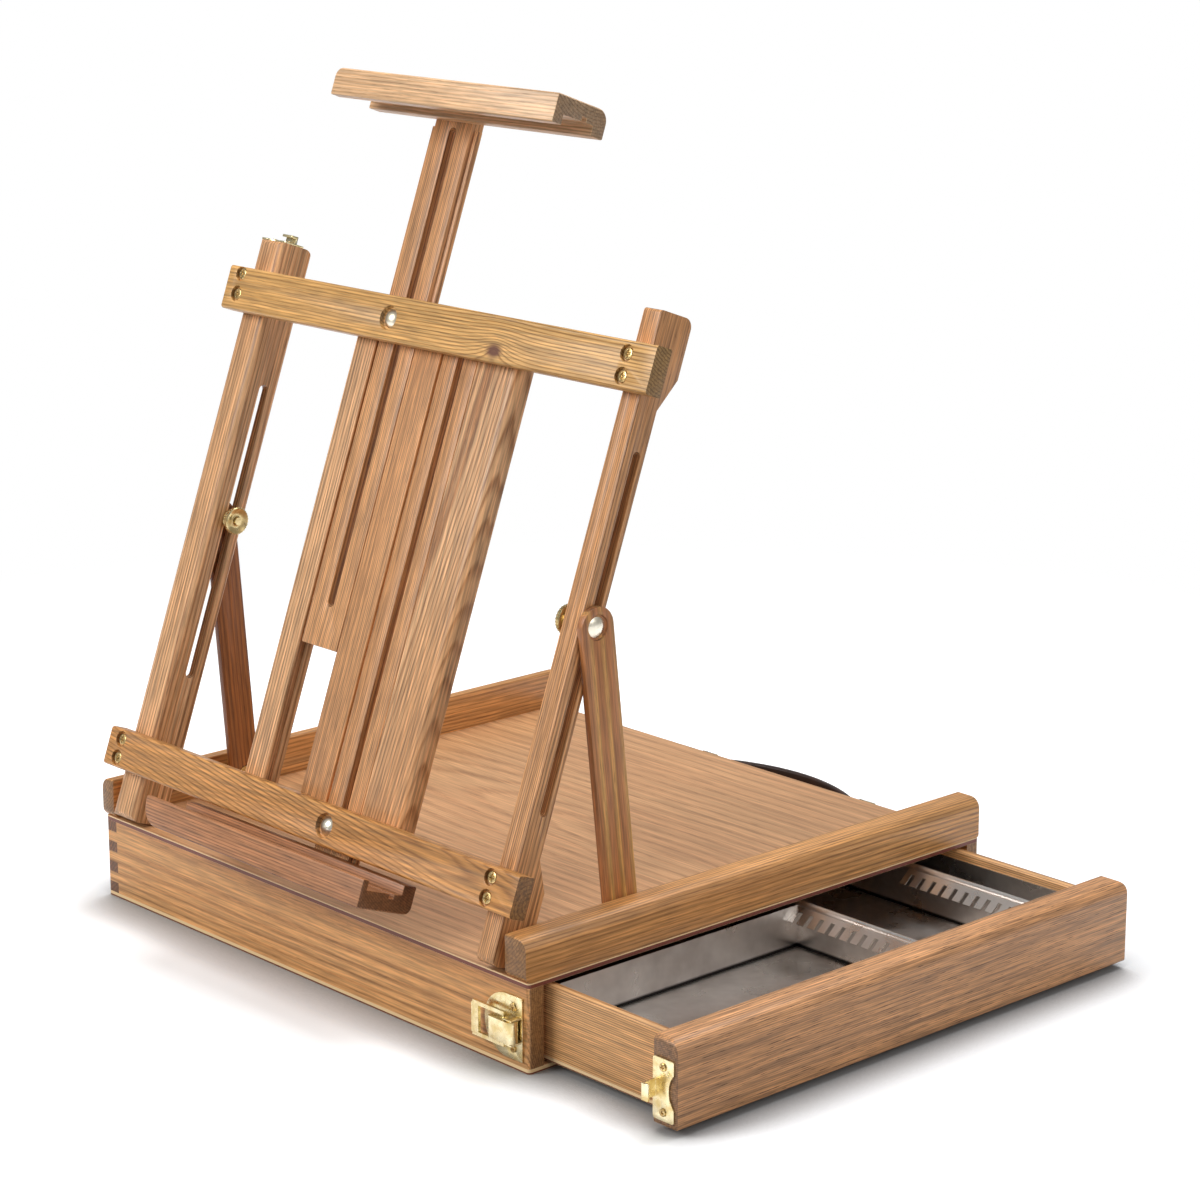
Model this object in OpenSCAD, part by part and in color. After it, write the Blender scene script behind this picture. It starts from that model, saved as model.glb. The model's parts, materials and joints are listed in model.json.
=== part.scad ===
// Table easel box: a drawer case whose slatted frame tilts up to hold a canvas.
// Millimetres, +Z up, origin at the middle of the case's underside.
// The painter sits on the -Y side and the drawer opens towards +X.

/* [Case] */
// Width of the case, along X
case_w = 410; // [400:1:430]
// Depth of the case, along Y
case_d = 378; // [374:1:400]
// Height of the case below the rails
case_h = 54; // [53:0.5:60]
// Thickness of the top and bottom panels
ply_t = 3; // [2.5:0.1:3.2]
// Thickness of the case walls
wall_t = 11; // [10:0.5:11]
// Fingers in each corner joint
finger_n = 7; // [5:2:9]
// Radius of the case's upright corners
case_round = 2.5; // [1:0.5:4]

/* [Rails] */
// Width of the right rail
rail_right_w = 18; // [17:0.5:19]
// Width of the left rail
rail_left_w = 12; // [11:0.5:14]
// Height of the rails
rail_h = 26; // [25:0.5:26]
// Rounding of each rail's top outer edge
rail_round = 8; // [4:0.5:10]
// Rounding of the low corners at the rail ends
rail_nose = 5.5; // [3:0.5:8]
// How far the rails stand out past the front wall
rail_lead = 2; // [0:0.5:3]

/* [Drawer] */
// How far the drawer stands open
drawer_open = 100.4; // [60:0.1:160]
// Thickness of the drawer's front panel
front_t = 18.7; // [16:0.1:20]
// Rounding of the front panel's top outer edge
front_round = 8; // [4:0.5:10]
// Thickness of the drawer's sides and back
side_t = 6.8; // [6:0.1:8]
// Gap behind the drawer when it is shut
side_end = 4; // [2:0.5:20]
// Gap above the drawer's sides
side_over = 1.7; // [1.5:0.1:6]
// Thickness of the drawer's bottom
drawer_ply = 2.5; // [2:0.1:2.5]
// Thickness of the tinned tray
tin_t = 0.8; // [0.6:0.1:1]
// How far the tray's rim lies below the drawer's sides
tray_low = 4.5; // [3.5:0.5:9.5]
// Length of the brush compartment
brush_len = 108.4; // [100:0.1:120]

/* [Brush combs] */
// Notches in each comb
notch_n = 11; // [8:1:12]
// Width of each notch
notch_w = 3.2; // [2.5:0.1:4]
// Width of the comb's slope
comb_w = 11.5; // [10:0.5:16]

/* [Frame] */
// How far the frame leans back from upright, in degrees
lean = 20; // [16:1:22]
// Length of the posts above their pivots
post_len = 365; // [355:1:366]
// Width of the left post
post_left_w = 27.5; // [26:0.5:30]
// Width of the right post
post_right_w = 14; // [13:0.5:20]
// Depth of the right post's slim shaft
shaft_d = 16; // [15.5:0.5:18]
// Width of the right post's slot
slot_right_w = 5.6; // [5.4:0.1:6]
// Width of the left post's slot
slot_left_w = 6.8; // [5.4:0.1:7]
// Thickness of the left post's inner cheek, which the slot goes through
cheek_t = 5.5; // [5:0.5:8]
// Length of the crossbars
bar_len = 392; // [388:1:400]
// Thickness of the crossbars
bar_t = 12; // [10:0.5:12]
// Height of the upper crossbar's face
bar_high_h = 28; // [24:1:30]
// Height of the lower crossbar's face
bar_low_h = 24.5; // [24:0.5:26]

/* [Slats] */
// Thickness of the fixed strips
strip_t = 13; // [12:0.5:14]
// Thickness of the sliding slats
slat_t = 9; // [8.5:0.5:10]
// Width of the slat that carries the top clamp
slat_high_w = 34; // [32:0.5:34]
// Width of the slat that carries the ledge
slat_low_w = 31; // [29:0.5:31]
// Length of the slat that carries the top clamp
slat_high_len = 340; // [320:1:345]
// Length of the ledge and top clamp across the canvas
clamp_len = 202; // [190:1:215]
// Length of the ledge
ledge_len = 211; // [190:1:215]
// Depth of the ledge and top clamp, front to back
clamp_d = 41; // [38:1:44]
// Height of the ledge and top clamp
clamp_h = 17; // [16:0.5:20]

/* [Stays] */
// Length of each stay between its two bolts
stay_len = 175.5; // [173:0.5:178]
// Width of the right stay
stay_right_w = 24; // [20:1:24]
// Width of the left stay
stay_left_w = 21; // [20:0.5:21]
// Thickness of each stay
stay_t = 4.5; // [4:0.1:5]
// Distance of the stays' pivots behind the posts' pivots
stay_back = 80; // [78:0.5:82]

/* [Hardware] */
// Diameter of the brass thumb knobs
knob_d = 18; // [16:1:22]
// Diameter of the domed bolt heads
head_d = 12; // [10:0.5:12]
// Diameter of the screw heads
screw_d = 8; // [7:0.5:8.5]
// Height of the latch plates
latch_h = 38; // [34:1:40]
// Bow of the carrying strap away from the back wall
strap_bow = 17; // [15:1:28]

/* [Hidden] */
$fn = 48;
eps = 0.01;
// Clearances: between sliding woods, round a turning shank, round a fixed shank
gap = 0.3;
run = 0.05;
slack = 0.1;
hx = case_w / 2;
hy = case_d / 2;
wall_h = case_h - 2 * ply_t;
wall_z = ply_t;
rail_z = case_h;
rail_in = hx - rail_right_w;
rail_left_in = hx - rail_left_w;
// Pivots of the frame and of the stays
pivot_up = 14.5;
pivot_in = 9;
pivot_y = pivot_in - hy;
pivot_z = case_h + pivot_up;
pin_r = 3;
shank_r = 2.5;
// The frame's own axes: front face ahead of the pivot, rear face behind it
front = 12.5;
rear = 13.5;
stay_in = rail_in - gap - stay_t;
post_out = stay_in - gap;
post_right_in = post_out - post_right_w;
post_left_out = rail_left_in - gap;
post_left_in = post_left_w - post_left_out;
// The left stay's inner face, in the groove behind the left post's inner cheek
stay_set = 8.8;
stay_left_in = stay_set - post_left_in;
slot_right_y = -3;
slot_left_y = 2.7;
slot_left_from = 83;
slot_left_to = 275;
slot_right_from = 74;
slot_right_to = 285;
// The groove that takes the left stay, and the notch for the stay's pin when folded
groove_deep = -stay_left_w / 2 - 0.4;
groove_low = 66;
wall_back = 4;
notch_low = 75;
notch_high = 84;
notch_in = -3.6;

// Where a clamp bolt stands in its slot, from the stay's length and the lean
function bolt_height(y) =
    stay_back * sin(lean) + sqrt(pow(stay_len, 2) - pow(stay_back * cos(lean) - y, 2));

// A stay's own lean, measured from upright, for a bolt at (y, z) along the frame
function stay_angle(y, z) =
    atan2(y * cos(lean) + z * sin(lean) - stay_back, z * cos(lean) - y * sin(lean));

bolt_left_z = bolt_height(slot_left_y);
bolt_right_z = bolt_height(slot_right_y);
lean_left = stay_angle(slot_left_y, bolt_left_z);
lean_right = stay_angle(slot_right_y, bolt_right_z);
// Heights at which the right post's shaft meets its foot and its head
foot_high = 30;
shaft_low = 50;
shaft_high = 310;
head_low = 332;
// Crossbars and the slatted panel, along the frame
bar_x = 2;
bar_high_z = 316;
bar_low_z = 17;
bar_face = front + bar_t;
strip_top = bar_high_z + bar_high_h;
strip_left_x = -70.5;
strip_left_w = 19.2;
slat_high_x = -49;
strip_mid_x = -14.6;
strip_mid_w = 24.6;
slat_low_x = 11.8;
strip_right_x = 43.2;
strip_right_w = 36.8;
slat_face = front - gap;
slat_high_z = 128;
slat_low_z = -4;
slat_low_len = 338;
tongue = 3;
tongue_t = 3.4;
tongue_face = 9.2;
groove = 3.6;
groove_w = 4;
groove_face = 9.5;
slot_high_x = -31.5;
slot_high_w = 6.4;
slot_low_x = 28;
slot_low_w = 5.4;
clamp_z = 454.5;
clamp_x = -2;
clamp_lip = 7.5;
ledge_z = -4;
ledge_x = 0.5;
ledge_lip = 4.5;
jaw_heel = 9.5;
jaw_channel = 6;
jaw_notch_y = -19;
jaw_notch_w = 3.5;
jaw_notch_h = 3;
// Bolt heads and screws
head_sink = 3;
head_r = head_d / 2;
head_h = 2.6;
cup_r = 7.5;
stay_head_h = 1.4;
collar_r = 5.5;
pin_end = 2;
pin_sink = 1.5;
pin_head_r = 4.6;
pin_head_t = 2.5;
stay_head_t = 2.2;
head_play = 0.3;
screw_r = screw_d / 2;
screw_sink = 2.5;
knob_t = 3.2;
knurl_n = 18;
knurl_r = 1;
knurl_out = 0.4;
dish_r = 40;
dish_h = 1;
flange_r = 6.5;
flange_h = 1.5;
hub_r = 4.6;
hub_h = 4.5;
knob_h = hub_h + knob_t;
stud_out = 1;
stay_sink = 1.5;
// Drawer
drawer_x = hx + drawer_open;
drawer_y = hy - wall_t - 4;
drawer_z = wall_z + 1.5;
side_z = drawer_z + drawer_ply;
side_h = case_h - ply_t - side_z - side_over;
side_back = drawer_x - case_w + wall_t + side_end;
front_low = 4;
front_high = case_h + 1;
tray_gap = 0.4;
runner_h = 15;
runner_lap = 14;
bearer_h = 10.8;
bearer_w = 9;
tray_y = drawer_y - side_t - tray_gap;
tray_z = side_z + bearer_h;
tray_x0 = side_back + side_t + tray_gap;
tray_x1 = drawer_x - tray_gap;
tray_rim = 3;
tray_h = side_h - bearer_h - tray_low;
cross_x = drawer_x - brush_len;
divider_near = 33;
divider_far = 133;
divider_top = tray_z + tray_h - 1;
roll_r = 3;
comb_tilt = 50;
comb_x0 = cross_x + tin_t;
comb_room = 5.6;
comb_end = 4;
comb_len = tray_x1 - tin_t - comb_room - comb_x0;
notch_pitch = (comb_len - comb_end) / notch_n;
notch_len = 8;
// Latches, in their own axes: outwards is -Y, the pull is along X, the straight edge at X = 0
latch_t = 1.2;
latch_w = 32;
latch_in = 4.5;
latch_x = hx - latch_in;
latch_z = 25.3;
frame_latch_x = post_left_w / 2 - post_left_out;
frame_latch_z = 43.5;
plate_screw_r = 2.6;
plate_screw_h = 0.9;
nail_r = 1.2;
nail_len = 7;
latch_screw_x = -7.5;
latch_screw_z = 12.5;
lever_half = 6.5;
lever_y = 6;
lever_x = -4;
lever_r = 4;
lever_len = 16;
lug_t = 1;
lug_half = 3.5;
lug_out = 3;
lever_pin_r = 1.2;
wire_r = 0.9;
loop_x = -9;
loop_len = 26;
loop_tuck = 3;
loop_arm = 2.4;
loop_end = 6;
loop_half = lever_half + gap + lug_t + gap + wire_r;
keeper_w = 16;
keeper_h = 36;
keeper_small_h = 25;
keeper_z = 7.3;
keeper_screw_in = 5;
horn_place = 1 / 3.2;
horn_share = 1 / 2.4;
hook_x = 1;
hook_half = 5;
hook_t = 1.6;
hook_out = 9;
hook_far = 5;
hook_len = 5;
// Strap
strap_x = 32;
strap_half = 62;
strap_t = 4;
strap_h = 22;
strap_drop = 3;
strap_z = case_h - strap_h - strap_drop;
strap_pad = 20;
staple_t = 1;
staple_w = 14;
staple_x = 66;
// Places of the crossbars' screws
bar_screw_left = -182;
bar_screw_right = 175.5;
bar_screw_high = 6.5;
bar_screw_low = 6;
bar_screw_rise = 3;
bar_screw_len = 22;
bar_screw_pin = 1.9;

bottom_panel();
top_panel();
front_wall();
back_wall();
left_wall();
drawer_runners();
rail_left();
rail_right();
frame_pivot_bolts();
stay_pivot_bolts();
handle_strap();
handle_plates();
drawer_front();
drawer_side_near();
drawer_side_far();
drawer_back();
drawer_bottom();
tray_bearers();
paint_tray();
tray_dividers();
brush_comb_near();
brush_comb_far();
drawer_keeper();
drawer_keeper_screws();
drawer_latch_plate();
drawer_latch_screws();
drawer_latch_lever();
drawer_latch_loop();
frame_latch_plate();
frame_latch_screws();
frame_latch_lever();
frame_latch_loop();
frame_keeper();
frame_keeper_screws();
post_left();
post_right();
crossbar_upper();
crossbar_lower();
crossbar_screws();
carriage_bolts();
strip_left();
strip_centre();
strip_right();
slat_upper();
top_clamp();
slat_lower();
canvas_ledge();
mast_knob_upper();
mast_knob_lower();
stay_left();
stay_right();
stay_bolt_head_left();
stay_bolt_head_right();
clamp_bolt_left();
clamp_bolt_right();
clamp_knob_left();
clamp_knob_right();

// Helpers

// Waste outside a quarter circle, at the origin's corner
module corner(r) {
    difference() {
        translate([-eps, -eps]) square(r + eps);
        translate([r, r]) circle(r);
    }
}

// Rectangle from the origin, with one radius per corner from the low left, anticlockwise
module rounded(w, h, r) {
    difference() {
        square([w, h]);
        if (r[0] > 0) corner(r[0]);
        if (r[1] > 0) translate([w, 0]) rotate(90) corner(r[1]);
        if (r[2] > 0) translate([w, h]) rotate(180) corner(r[2]);
        if (r[3] > 0) translate([0, h]) rotate(270) corner(r[3]);
    }
}

// A slot with round ends, from the origin up along Y
module slot_shape(w, h) {
    translate([-w / 2, w / 2]) square([w, h - w]);
    translate([0, w / 2]) circle(w / 2);
    translate([0, h - w / 2]) circle(w / 2);
}

// A Y-Z shape drawn out along X
module along_x(x0, x1) {
    translate([x0, 0, 0]) rotate([90, 0, 90]) linear_extrude(x1 - x0) children();
}

// An X-Z shape drawn out along Y
module along_y(y0, y1) {
    translate([0, y1, 0]) rotate([90, 0, 0]) linear_extrude(y1 - y0) children();
}

// A box from its low corner to its high corner
module span(a, b) {
    translate(a) cube(b - a);
}

// A round bar along X
module rod_x(x0, x1, r) {
    translate([x0, 0, 0]) rotate([0, 90, 0]) cylinder(h = x1 - x0, r = r);
}

// A round bar along Y
module rod_y(y0, y1, r) {
    translate([0, y0, 0]) rotate([-90, 0, 0]) cylinder(h = y1 - y0, r = r);
}

// A domed head, flat side down
module dome(r, h) {
    ball = (r * r + h * h) / (2 * h);
    intersection() {
        translate([0, 0, h - ball]) sphere(ball);
        cylinder(h = h + eps, r = r);
    }
}

// From the frame's own axes (pivot at the origin, upright) to its place on the case
module on_frame() {
    translate([0, pivot_y, pivot_z]) rotate([-lean, 0, 0]) children();
}

// From the frame's pivot axis, without the lean
module on_pivot() {
    translate([0, pivot_y, pivot_z]) children();
}

// From a stay's pivot axis, along the stay
module on_stay(stay_lean) {
    translate([0, pivot_y + stay_back, pivot_z]) rotate([-stay_lean, 0, 0]) children();
}

// The upright prism that rounds the case's four corners
module case_prism() {
    translate([-hx, -hy, 0]) linear_extrude(case_h)
        rounded(case_w, case_d, [case_round, case_round, case_round, case_round]);
}

// Every second finger of the left corners, over the thickness of both walls
module fingers(first) {
    step = wall_h / finger_n;
    for (i = [first : 2 : finger_n - 1])
        for (side = [-1, 1])
            translate([-hx - 1, side * (hy - wall_t / 2) - wall_t / 2 - 1, wall_z + i * step])
                cube([wall_t + 1, wall_t + 2, step]);
}

// Case

module bottom_panel() {
    color("BurlyWood") intersection() {
        case_prism();
        span([-hx, -hy, 0], [hx, hy, ply_t]);
    }
}

module top_panel() {
    color("BurlyWood") intersection() {
        case_prism();
        span([-hx, -hy, case_h - ply_t], [hx, hy, case_h]);
    }
}

module long_wall(side) {
    difference() {
        intersection() {
            case_prism();
            span([-hx, side * (hy - wall_t / 2) - wall_t / 2, wall_z],
                [hx, side * (hy - wall_t / 2) + wall_t / 2, wall_z + wall_h]);
        }
        fingers(0);
    }
}

module front_wall() {
    color("Peru") difference() {
        long_wall(-1);
        at_drawer_latch() latch_nails(slack);
    }
}

module back_wall() {
    color("Peru") difference() {
        long_wall(1);
        at_frame_latch() latch_nails(slack);
    }
}

module left_wall() {
    color("Sienna") difference() {
        intersection() {
            case_prism();
            span([-hx, -hy, wall_z], [wall_t - hx, hy, wall_z + wall_h]);
        }
        fingers(1);
    }
}

// Guides that keep the drawer straight, with the ledges it slides on
module drawer_runners() {
    guide_w = hy - wall_t - drawer_y - gap;
    color("Peru") for (side = [0, 1]) mirror([0, side, 0]) {
        span([wall_t - hx, wall_t - hy, wall_z],
            [hx - side_end, wall_t - hy + guide_w, wall_z + runner_h]);
        span([wall_t - hx, wall_t - hy, wall_z],
            [hx - side_end, runner_lap - drawer_y, drawer_z - gap]);
    }
}

// A rail along the case's +X edge, with the two pins' holes
module rail(w) {
    difference() {
        intersection() {
            along_y(-hy - rail_lead, hy)
                translate([hx - w, rail_z]) rounded(w, rail_h, [0, 0, rail_round, 1.5]);
            along_x(0, hx + 1)
                translate([-hy - rail_lead, rail_z])
                    rounded(case_d + rail_lead, rail_h, [rail_nose, 1, 2, 2]);
        }
        on_pivot() rod_x(hx - w - 1, hx - pin_end, pin_r);
        on_pivot() translate([0, stay_back, 0]) rod_x(hx - w - 1, hx - pin_end, pin_r);
    }
}

module rail_left() {
    color("Peru") mirror([1, 0, 0]) rail(rail_left_w);
}

module rail_right() {
    color("Peru") rail(rail_right_w);
}

// Screw pins on which the posts turn, heads sunk in the posts' inner faces
module pivot_bolt(post_in) {
    on_pivot() {
        rod_x(post_in + pin_sink + 1, hx - pin_end, pin_r);
        rod_x(post_in + pin_sink, post_in + pin_sink + pin_head_t, pin_head_r);
    }
}

module frame_pivot_bolts() {
    color("Goldenrod") {
        pivot_bolt(post_right_in);
        mirror([1, 0, 0]) pivot_bolt(-post_left_in);
    }
}

// Screw pins on which the stays turn, heads sunk in the stays' inner faces
module stay_pin(inner) {
    on_pivot() translate([0, stay_back, 0]) {
        rod_x(inner + 1, hx - pin_end, pin_r);
        rod_x(inner + slack, inner + stay_head_t, head_r);
    }
}

module stay_pivot_bolts() {
    color("Goldenrod") {
        stay_pin(stay_in);
        mirror([1, 0, 0]) stay_pin(stay_left_in);
    }
}

// Carrying strap on the back wall, in plan: a bowed band with flat ends
module strap_plan() {
    ball = (strap_half * strap_half + strap_bow * strap_bow) / (2 * strap_bow);
    intersection() {
        translate([0, strap_bow - ball]) difference() {
            circle(ball + strap_t);
            circle(ball);
        }
        translate([-strap_half - strap_t, 0])
            square([2 * (strap_half + strap_t), strap_bow + strap_t]);
    }
    for (side = [0, 1]) mirror([side, 0])
        translate([strap_half - 1, 0]) square([strap_pad, strap_t]);
}

module handle_strap() {
    color("SaddleBrown") translate([strap_x, hy + gap, strap_z]) linear_extrude(strap_h)
        strap_plan();
}

// Bent staples that hold the strap's flat ends against the back wall
module handle_plates() {
    out = strap_t + 2 * gap;
    color("Goldenrod") translate([strap_x, hy, strap_z]) for (side = [0, 1]) mirror([side, 0, 0]) {
        span([staple_x, out, -gap - staple_t],
            [staple_x + staple_w, out + staple_t, strap_h + gap + staple_t]);
        for (z = [-gap - staple_t, strap_h + gap])
            span([staple_x, 0, z], [staple_x + staple_w, out + staple_t, z + staple_t]);
    }
}

// Drawer

module drawer_front() {
    color("Peru") difference() {
        intersection() {
            along_y(-hy, hy) translate([drawer_x, front_low])
                rounded(front_t, front_high - front_low, [0, 2, front_round, 1]);
            along_x(drawer_x, drawer_x + front_t) translate([0.5 - hy, front_low])
                rounded(case_d - 1, front_high - front_low, [1, 1, 4, 4]);
        }
        at_drawer_keeper() keeper_nails(keeper_h, slack);
    }
}

module drawer_side() {
    span([side_back, drawer_y - side_t, side_z], [drawer_x, drawer_y, side_z + side_h]);
}

module drawer_side_near() {
    color("Peru") mirror([0, 1, 0]) drawer_side();
}

module drawer_side_far() {
    color("Peru") drawer_side();
}

module drawer_back() {
    inner = drawer_y - side_t;
    color("Peru")
        span([side_back, -inner, side_z], [side_back + side_t, inner, side_z + side_h]);
}

module drawer_bottom() {
    color("BurlyWood")
        span([side_back, -drawer_y, drawer_z], [drawer_x, drawer_y, side_z]);
}

// Strips that hold the tray up from the drawer's bottom
module tray_bearers() {
    inner = drawer_y - side_t;
    color("Peru") for (side = [0, 1]) mirror([0, side, 0])
        span([side_back + side_t, inner - bearer_w, side_z], [drawer_x, inner, tray_z]);
}

module paint_tray() {
    color("Silver") difference() {
        span([tray_x0, -tray_y, tray_z], [tray_x1, tray_y, tray_z + tray_h]);
        span([tray_x0 + tin_t, tin_t - tray_y, tray_z + tin_t],
            [cross_x, divider_near, tray_z + tray_h + 1]);
        span([cross_x + tin_t, tin_t - tray_y, tray_z + tin_t],
            [tray_x1 - tin_t, divider_near, tray_z + tray_h + 1]);
        span([tray_x0 + tin_t, divider_near - eps, tray_z + tin_t],
            [tray_x1 - tin_t, tray_y - tin_t, tray_z + tray_h + 1]);
    }
}

// A standing sheet with a rolled top edge, as long as the tray
module divider() {
    span([tray_x0 + tin_t, 0, tray_z + tin_t], [tray_x1 - tin_t, tin_t, divider_top]);
    translate([0, roll_r, divider_top]) rod_x(tray_x0 + tin_t, tray_x1 - tin_t, roll_r);
}

module tray_dividers() {
    color("Silver") for (y = [divider_near, divider_far]) translate([0, y, 0]) divider();
}

// A sloping strip of notched sheet, its top edge on a divider's roll
module comb() {
    translate([comb_x0, 0, divider_top]) rotate([-comb_tilt, 0, 0]) difference() {
        span([0, -tin_t, -comb_w], [comb_len, 0, 0]);
        for (i = [0 : notch_n - 1])
            span([notch_pitch * (i + 0.5), -2, -comb_w - 1],
                [notch_pitch * (i + 0.5) + notch_w, 1, notch_len - comb_w]);
    }
}

module brush_comb_near() {
    color("Silver") translate([0, divider_near, 0]) comb();
}

module brush_comb_far() {
    color("Silver") translate([0, divider_far, 0]) comb();
}

// Tilting frame, drawn upright in its own axes

// The four screw places on a crossbar, the left pair a little above the right pair
module at_bar_screws(z, half, rise) {
    for (side = [-1, 1]) {
        translate([bar_screw_left, 0, z + rise + side * half]) children();
        translate([bar_screw_right, 0, z + side * half]) children();
    }
}

module at_high_screws() {
    at_bar_screws(bar_high_z + bar_high_h / 2, bar_screw_high, bar_screw_rise) children();
}

module at_low_screws() {
    at_bar_screws(bar_low_z + bar_low_h / 2, bar_screw_low, 0) children();
}

// Room for the screws' shanks in posts and crossbars
module bar_screw_holes(r) {
    at_high_screws() rod_y(-bar_face - 1, bar_screw_len - bar_face, r);
    at_low_screws() rod_y(-bar_face - 1, bar_screw_len - bar_face, r);
}

// The frame pivot's hole through a post, its head sunk in the inner face
module pivot_hole(inner, way) {
    reach = post_left_w + 1;
    rod_x(inner - reach, inner + reach, pin_r + run);
    translate([inner, 0, 0]) rotate([0, 90 * way, 0]) translate([0, 0, -1])
        cylinder(h = 1 + pin_sink + pin_head_t + head_play, r = pin_head_r + gap);
}

// A slot along a post, through the stretch from x0 to x1
module post_slot(x0, x1, y, w, from, to) {
    along_x(x0, x1) translate([y, from]) slot_shape(w, to - from);
}

module post_left() {
    color("Peru") on_frame() difference() {
        intersection() {
            translate([-post_left_out, -front, -rear]) linear_extrude(post_len + rear)
                rounded(post_left_w, front + rear, [11, 4.5, 2, 2]);
            along_x(-post_left_out, post_left_in) translate([-front, -rear])
                rounded(front + rear, post_len + rear, [5, rear, 6, 3]);
        }
        pivot_hole(post_left_in, -1);
        bar_screw_holes(bar_screw_pin + slack);
        post_slot(post_left_in - cheek_t - 1, post_left_in + 1, slot_left_y, slot_left_w,
            slot_left_from, slot_left_to);
        span([-stay_left_in - stay_t - gap, groove_deep, groove_low],
            [post_left_in - cheek_t, rear + 1, slot_left_to]);
        span([-post_left_out - 1, wall_back, groove_low],
            [-stay_left_in - stay_t, rear + 1, slot_left_to]);
        span([-post_left_out - 1, notch_in, notch_low],
            [-stay_left_in - stay_t, rear + 1, notch_high]);
        at_frame_keeper() keeper_nails(keeper_small_h, slack);
    }
}

// The right post's outline: a slim shaft between a wide head and a wide foot
module post_right_side() {
    back = shaft_d - front;
    difference() {
        translate([-front, -rear]) rounded(front + rear, post_len + rear, [5, rear, 6, 2]);
        polygon([[rear + 1, foot_high], [back, shaft_low], [back, shaft_high], [rear + 1, head_low]]);
    }
}

module post_right() {
    color("Peru") on_frame() difference() {
        along_x(post_right_in, post_out) post_right_side();
        pivot_hole(post_right_in, 1);
        bar_screw_holes(bar_screw_pin + slack);
        post_slot(post_right_in - 1, post_out + 1, slot_right_y, slot_right_w,
            slot_right_from, slot_right_to);
    }
}

// Holes in a crossbar for one screw, with its countersink
module bar_screw_sink() {
    rod_y(-bar_face - 1, 0, bar_screw_pin + slack);
    rod_y(-bar_face - 1, screw_sink - bar_face, screw_r + 1);
}

module crossbar(z, h, bolt_x) {
    difference() {
        along_x(bar_x - bar_len / 2, bar_x + bar_len / 2) translate([-bar_face, z])
            rounded(bar_t, h, [2, 1, 1, 2]);
        translate([bolt_x, 0, z + h / 2]) {
            rod_y(-bar_face - 1, 0, shank_r + slack);
            rod_y(-bar_face - 1, head_sink - bar_face, cup_r);
        }
    }
}

module crossbar_upper() {
    color("BurlyWood") on_frame() difference() {
        crossbar(bar_high_z, bar_high_h, slot_high_x);
        at_high_screws() bar_screw_sink();
    }
}

module crossbar_lower() {
    color("BurlyWood") on_frame() difference() {
        crossbar(bar_low_z, bar_low_h, slot_low_x);
        at_low_screws() bar_screw_sink();
    }
}

// One wood screw, its head's bearing face at the origin, driven towards +Y
module bar_screw() {
    difference() {
        rotate([90, 0, 0]) dome(screw_r, 1.8);
        translate([-screw_r, -3, -0.5]) cube([2 * screw_r, 2, 1]);
    }
    rod_y(0, bar_screw_len - screw_sink - 1, bar_screw_pin);
}

module crossbar_screws() {
    color("Goldenrod") on_frame() translate([0, screw_sink - bar_face, 0]) {
        at_high_screws() bar_screw();
        at_low_screws() bar_screw();
    }
}

// The two bolts that hold the sliding slats against the crossbars
module carriage_bolts() {
    end = gap + knob_h + stud_out + slat_t - slat_face;
    color("Goldenrod") on_frame() {
        translate([slot_high_x, head_sink - bar_face, bar_high_z + bar_high_h / 2]) {
            rotate([90, 0, 0]) dome(head_r, head_h);
            rod_y(0, end + bar_face - head_sink, shank_r);
        }
        translate([slot_low_x, head_sink - bar_face, bar_low_z + bar_low_h / 2]) {
            rotate([90, 0, 0]) dome(head_r, head_h);
            rod_y(0, end + bar_face - head_sink, shank_r);
        }
    }
}

// A fixed strip behind the crossbars, grooved along the edges the slats slide in
module strip(x, w, radii, left, right) {
    on_frame() difference() {
        translate([x, -front, bar_low_z]) linear_extrude(strip_top - bar_low_z)
            rounded(w, strip_t, radii);
        if (left)
            span([x - 1, -groove_face, bar_low_z - 1],
                [x + groove, groove_w - groove_face, strip_top + 1]);
        if (right)
            span([x + w - groove, -groove_face, bar_low_z - 1],
                [x + w + 1, groove_w - groove_face, strip_top + 1]);
    }
}

module strip_left() {
    color("Peru") strip(strip_left_x, strip_left_w, [2, 1, 1, 2], false, true);
}

module strip_centre() {
    color("Peru") strip(strip_mid_x, strip_mid_w, [1, 1, 1, 1], true, true);
}

module strip_right() {
    color("Peru") strip(strip_right_x, strip_right_w, [1, 7, 2, 1], true, false);
}

// Sliding slats with their jaws

// A slat with tongues that reach between two strips' grooves, and a slot for its bolt
module slat(x, w, z, length, from, to, slot_x, slot_w, slot_from, slot_to) {
    on_frame() difference() {
        union() {
            span([x, -slat_face, z], [x + w, slat_t - slat_face, z + length]);
            span([from, -tongue_face, z], [to, tongue_t - tongue_face, z + length - clamp_h]);
        }
        along_y(-slat_face - 1, slat_t) translate([slot_x, slot_from])
            slot_shape(slot_w, slot_to - slot_from);
    }
}

module slat_upper() {
    color("Peru") slat(slat_high_x, slat_high_w, slat_high_z, slat_high_len,
        strip_left_x + strip_left_w - tongue, strip_mid_x + tongue,
        slot_high_x, slot_high_w, slat_high_z + 25, slat_high_z + slat_high_len - 17);
}

module slat_lower() {
    color("Peru") slat(slat_low_x, slat_low_w, slat_low_z, slat_low_len,
        strip_mid_x + strip_mid_w - tongue, strip_right_x + tongue,
        slot_low_x, slot_low_w, slat_low_z + 26, slat_low_z + slat_low_len - 14);
}

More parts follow.
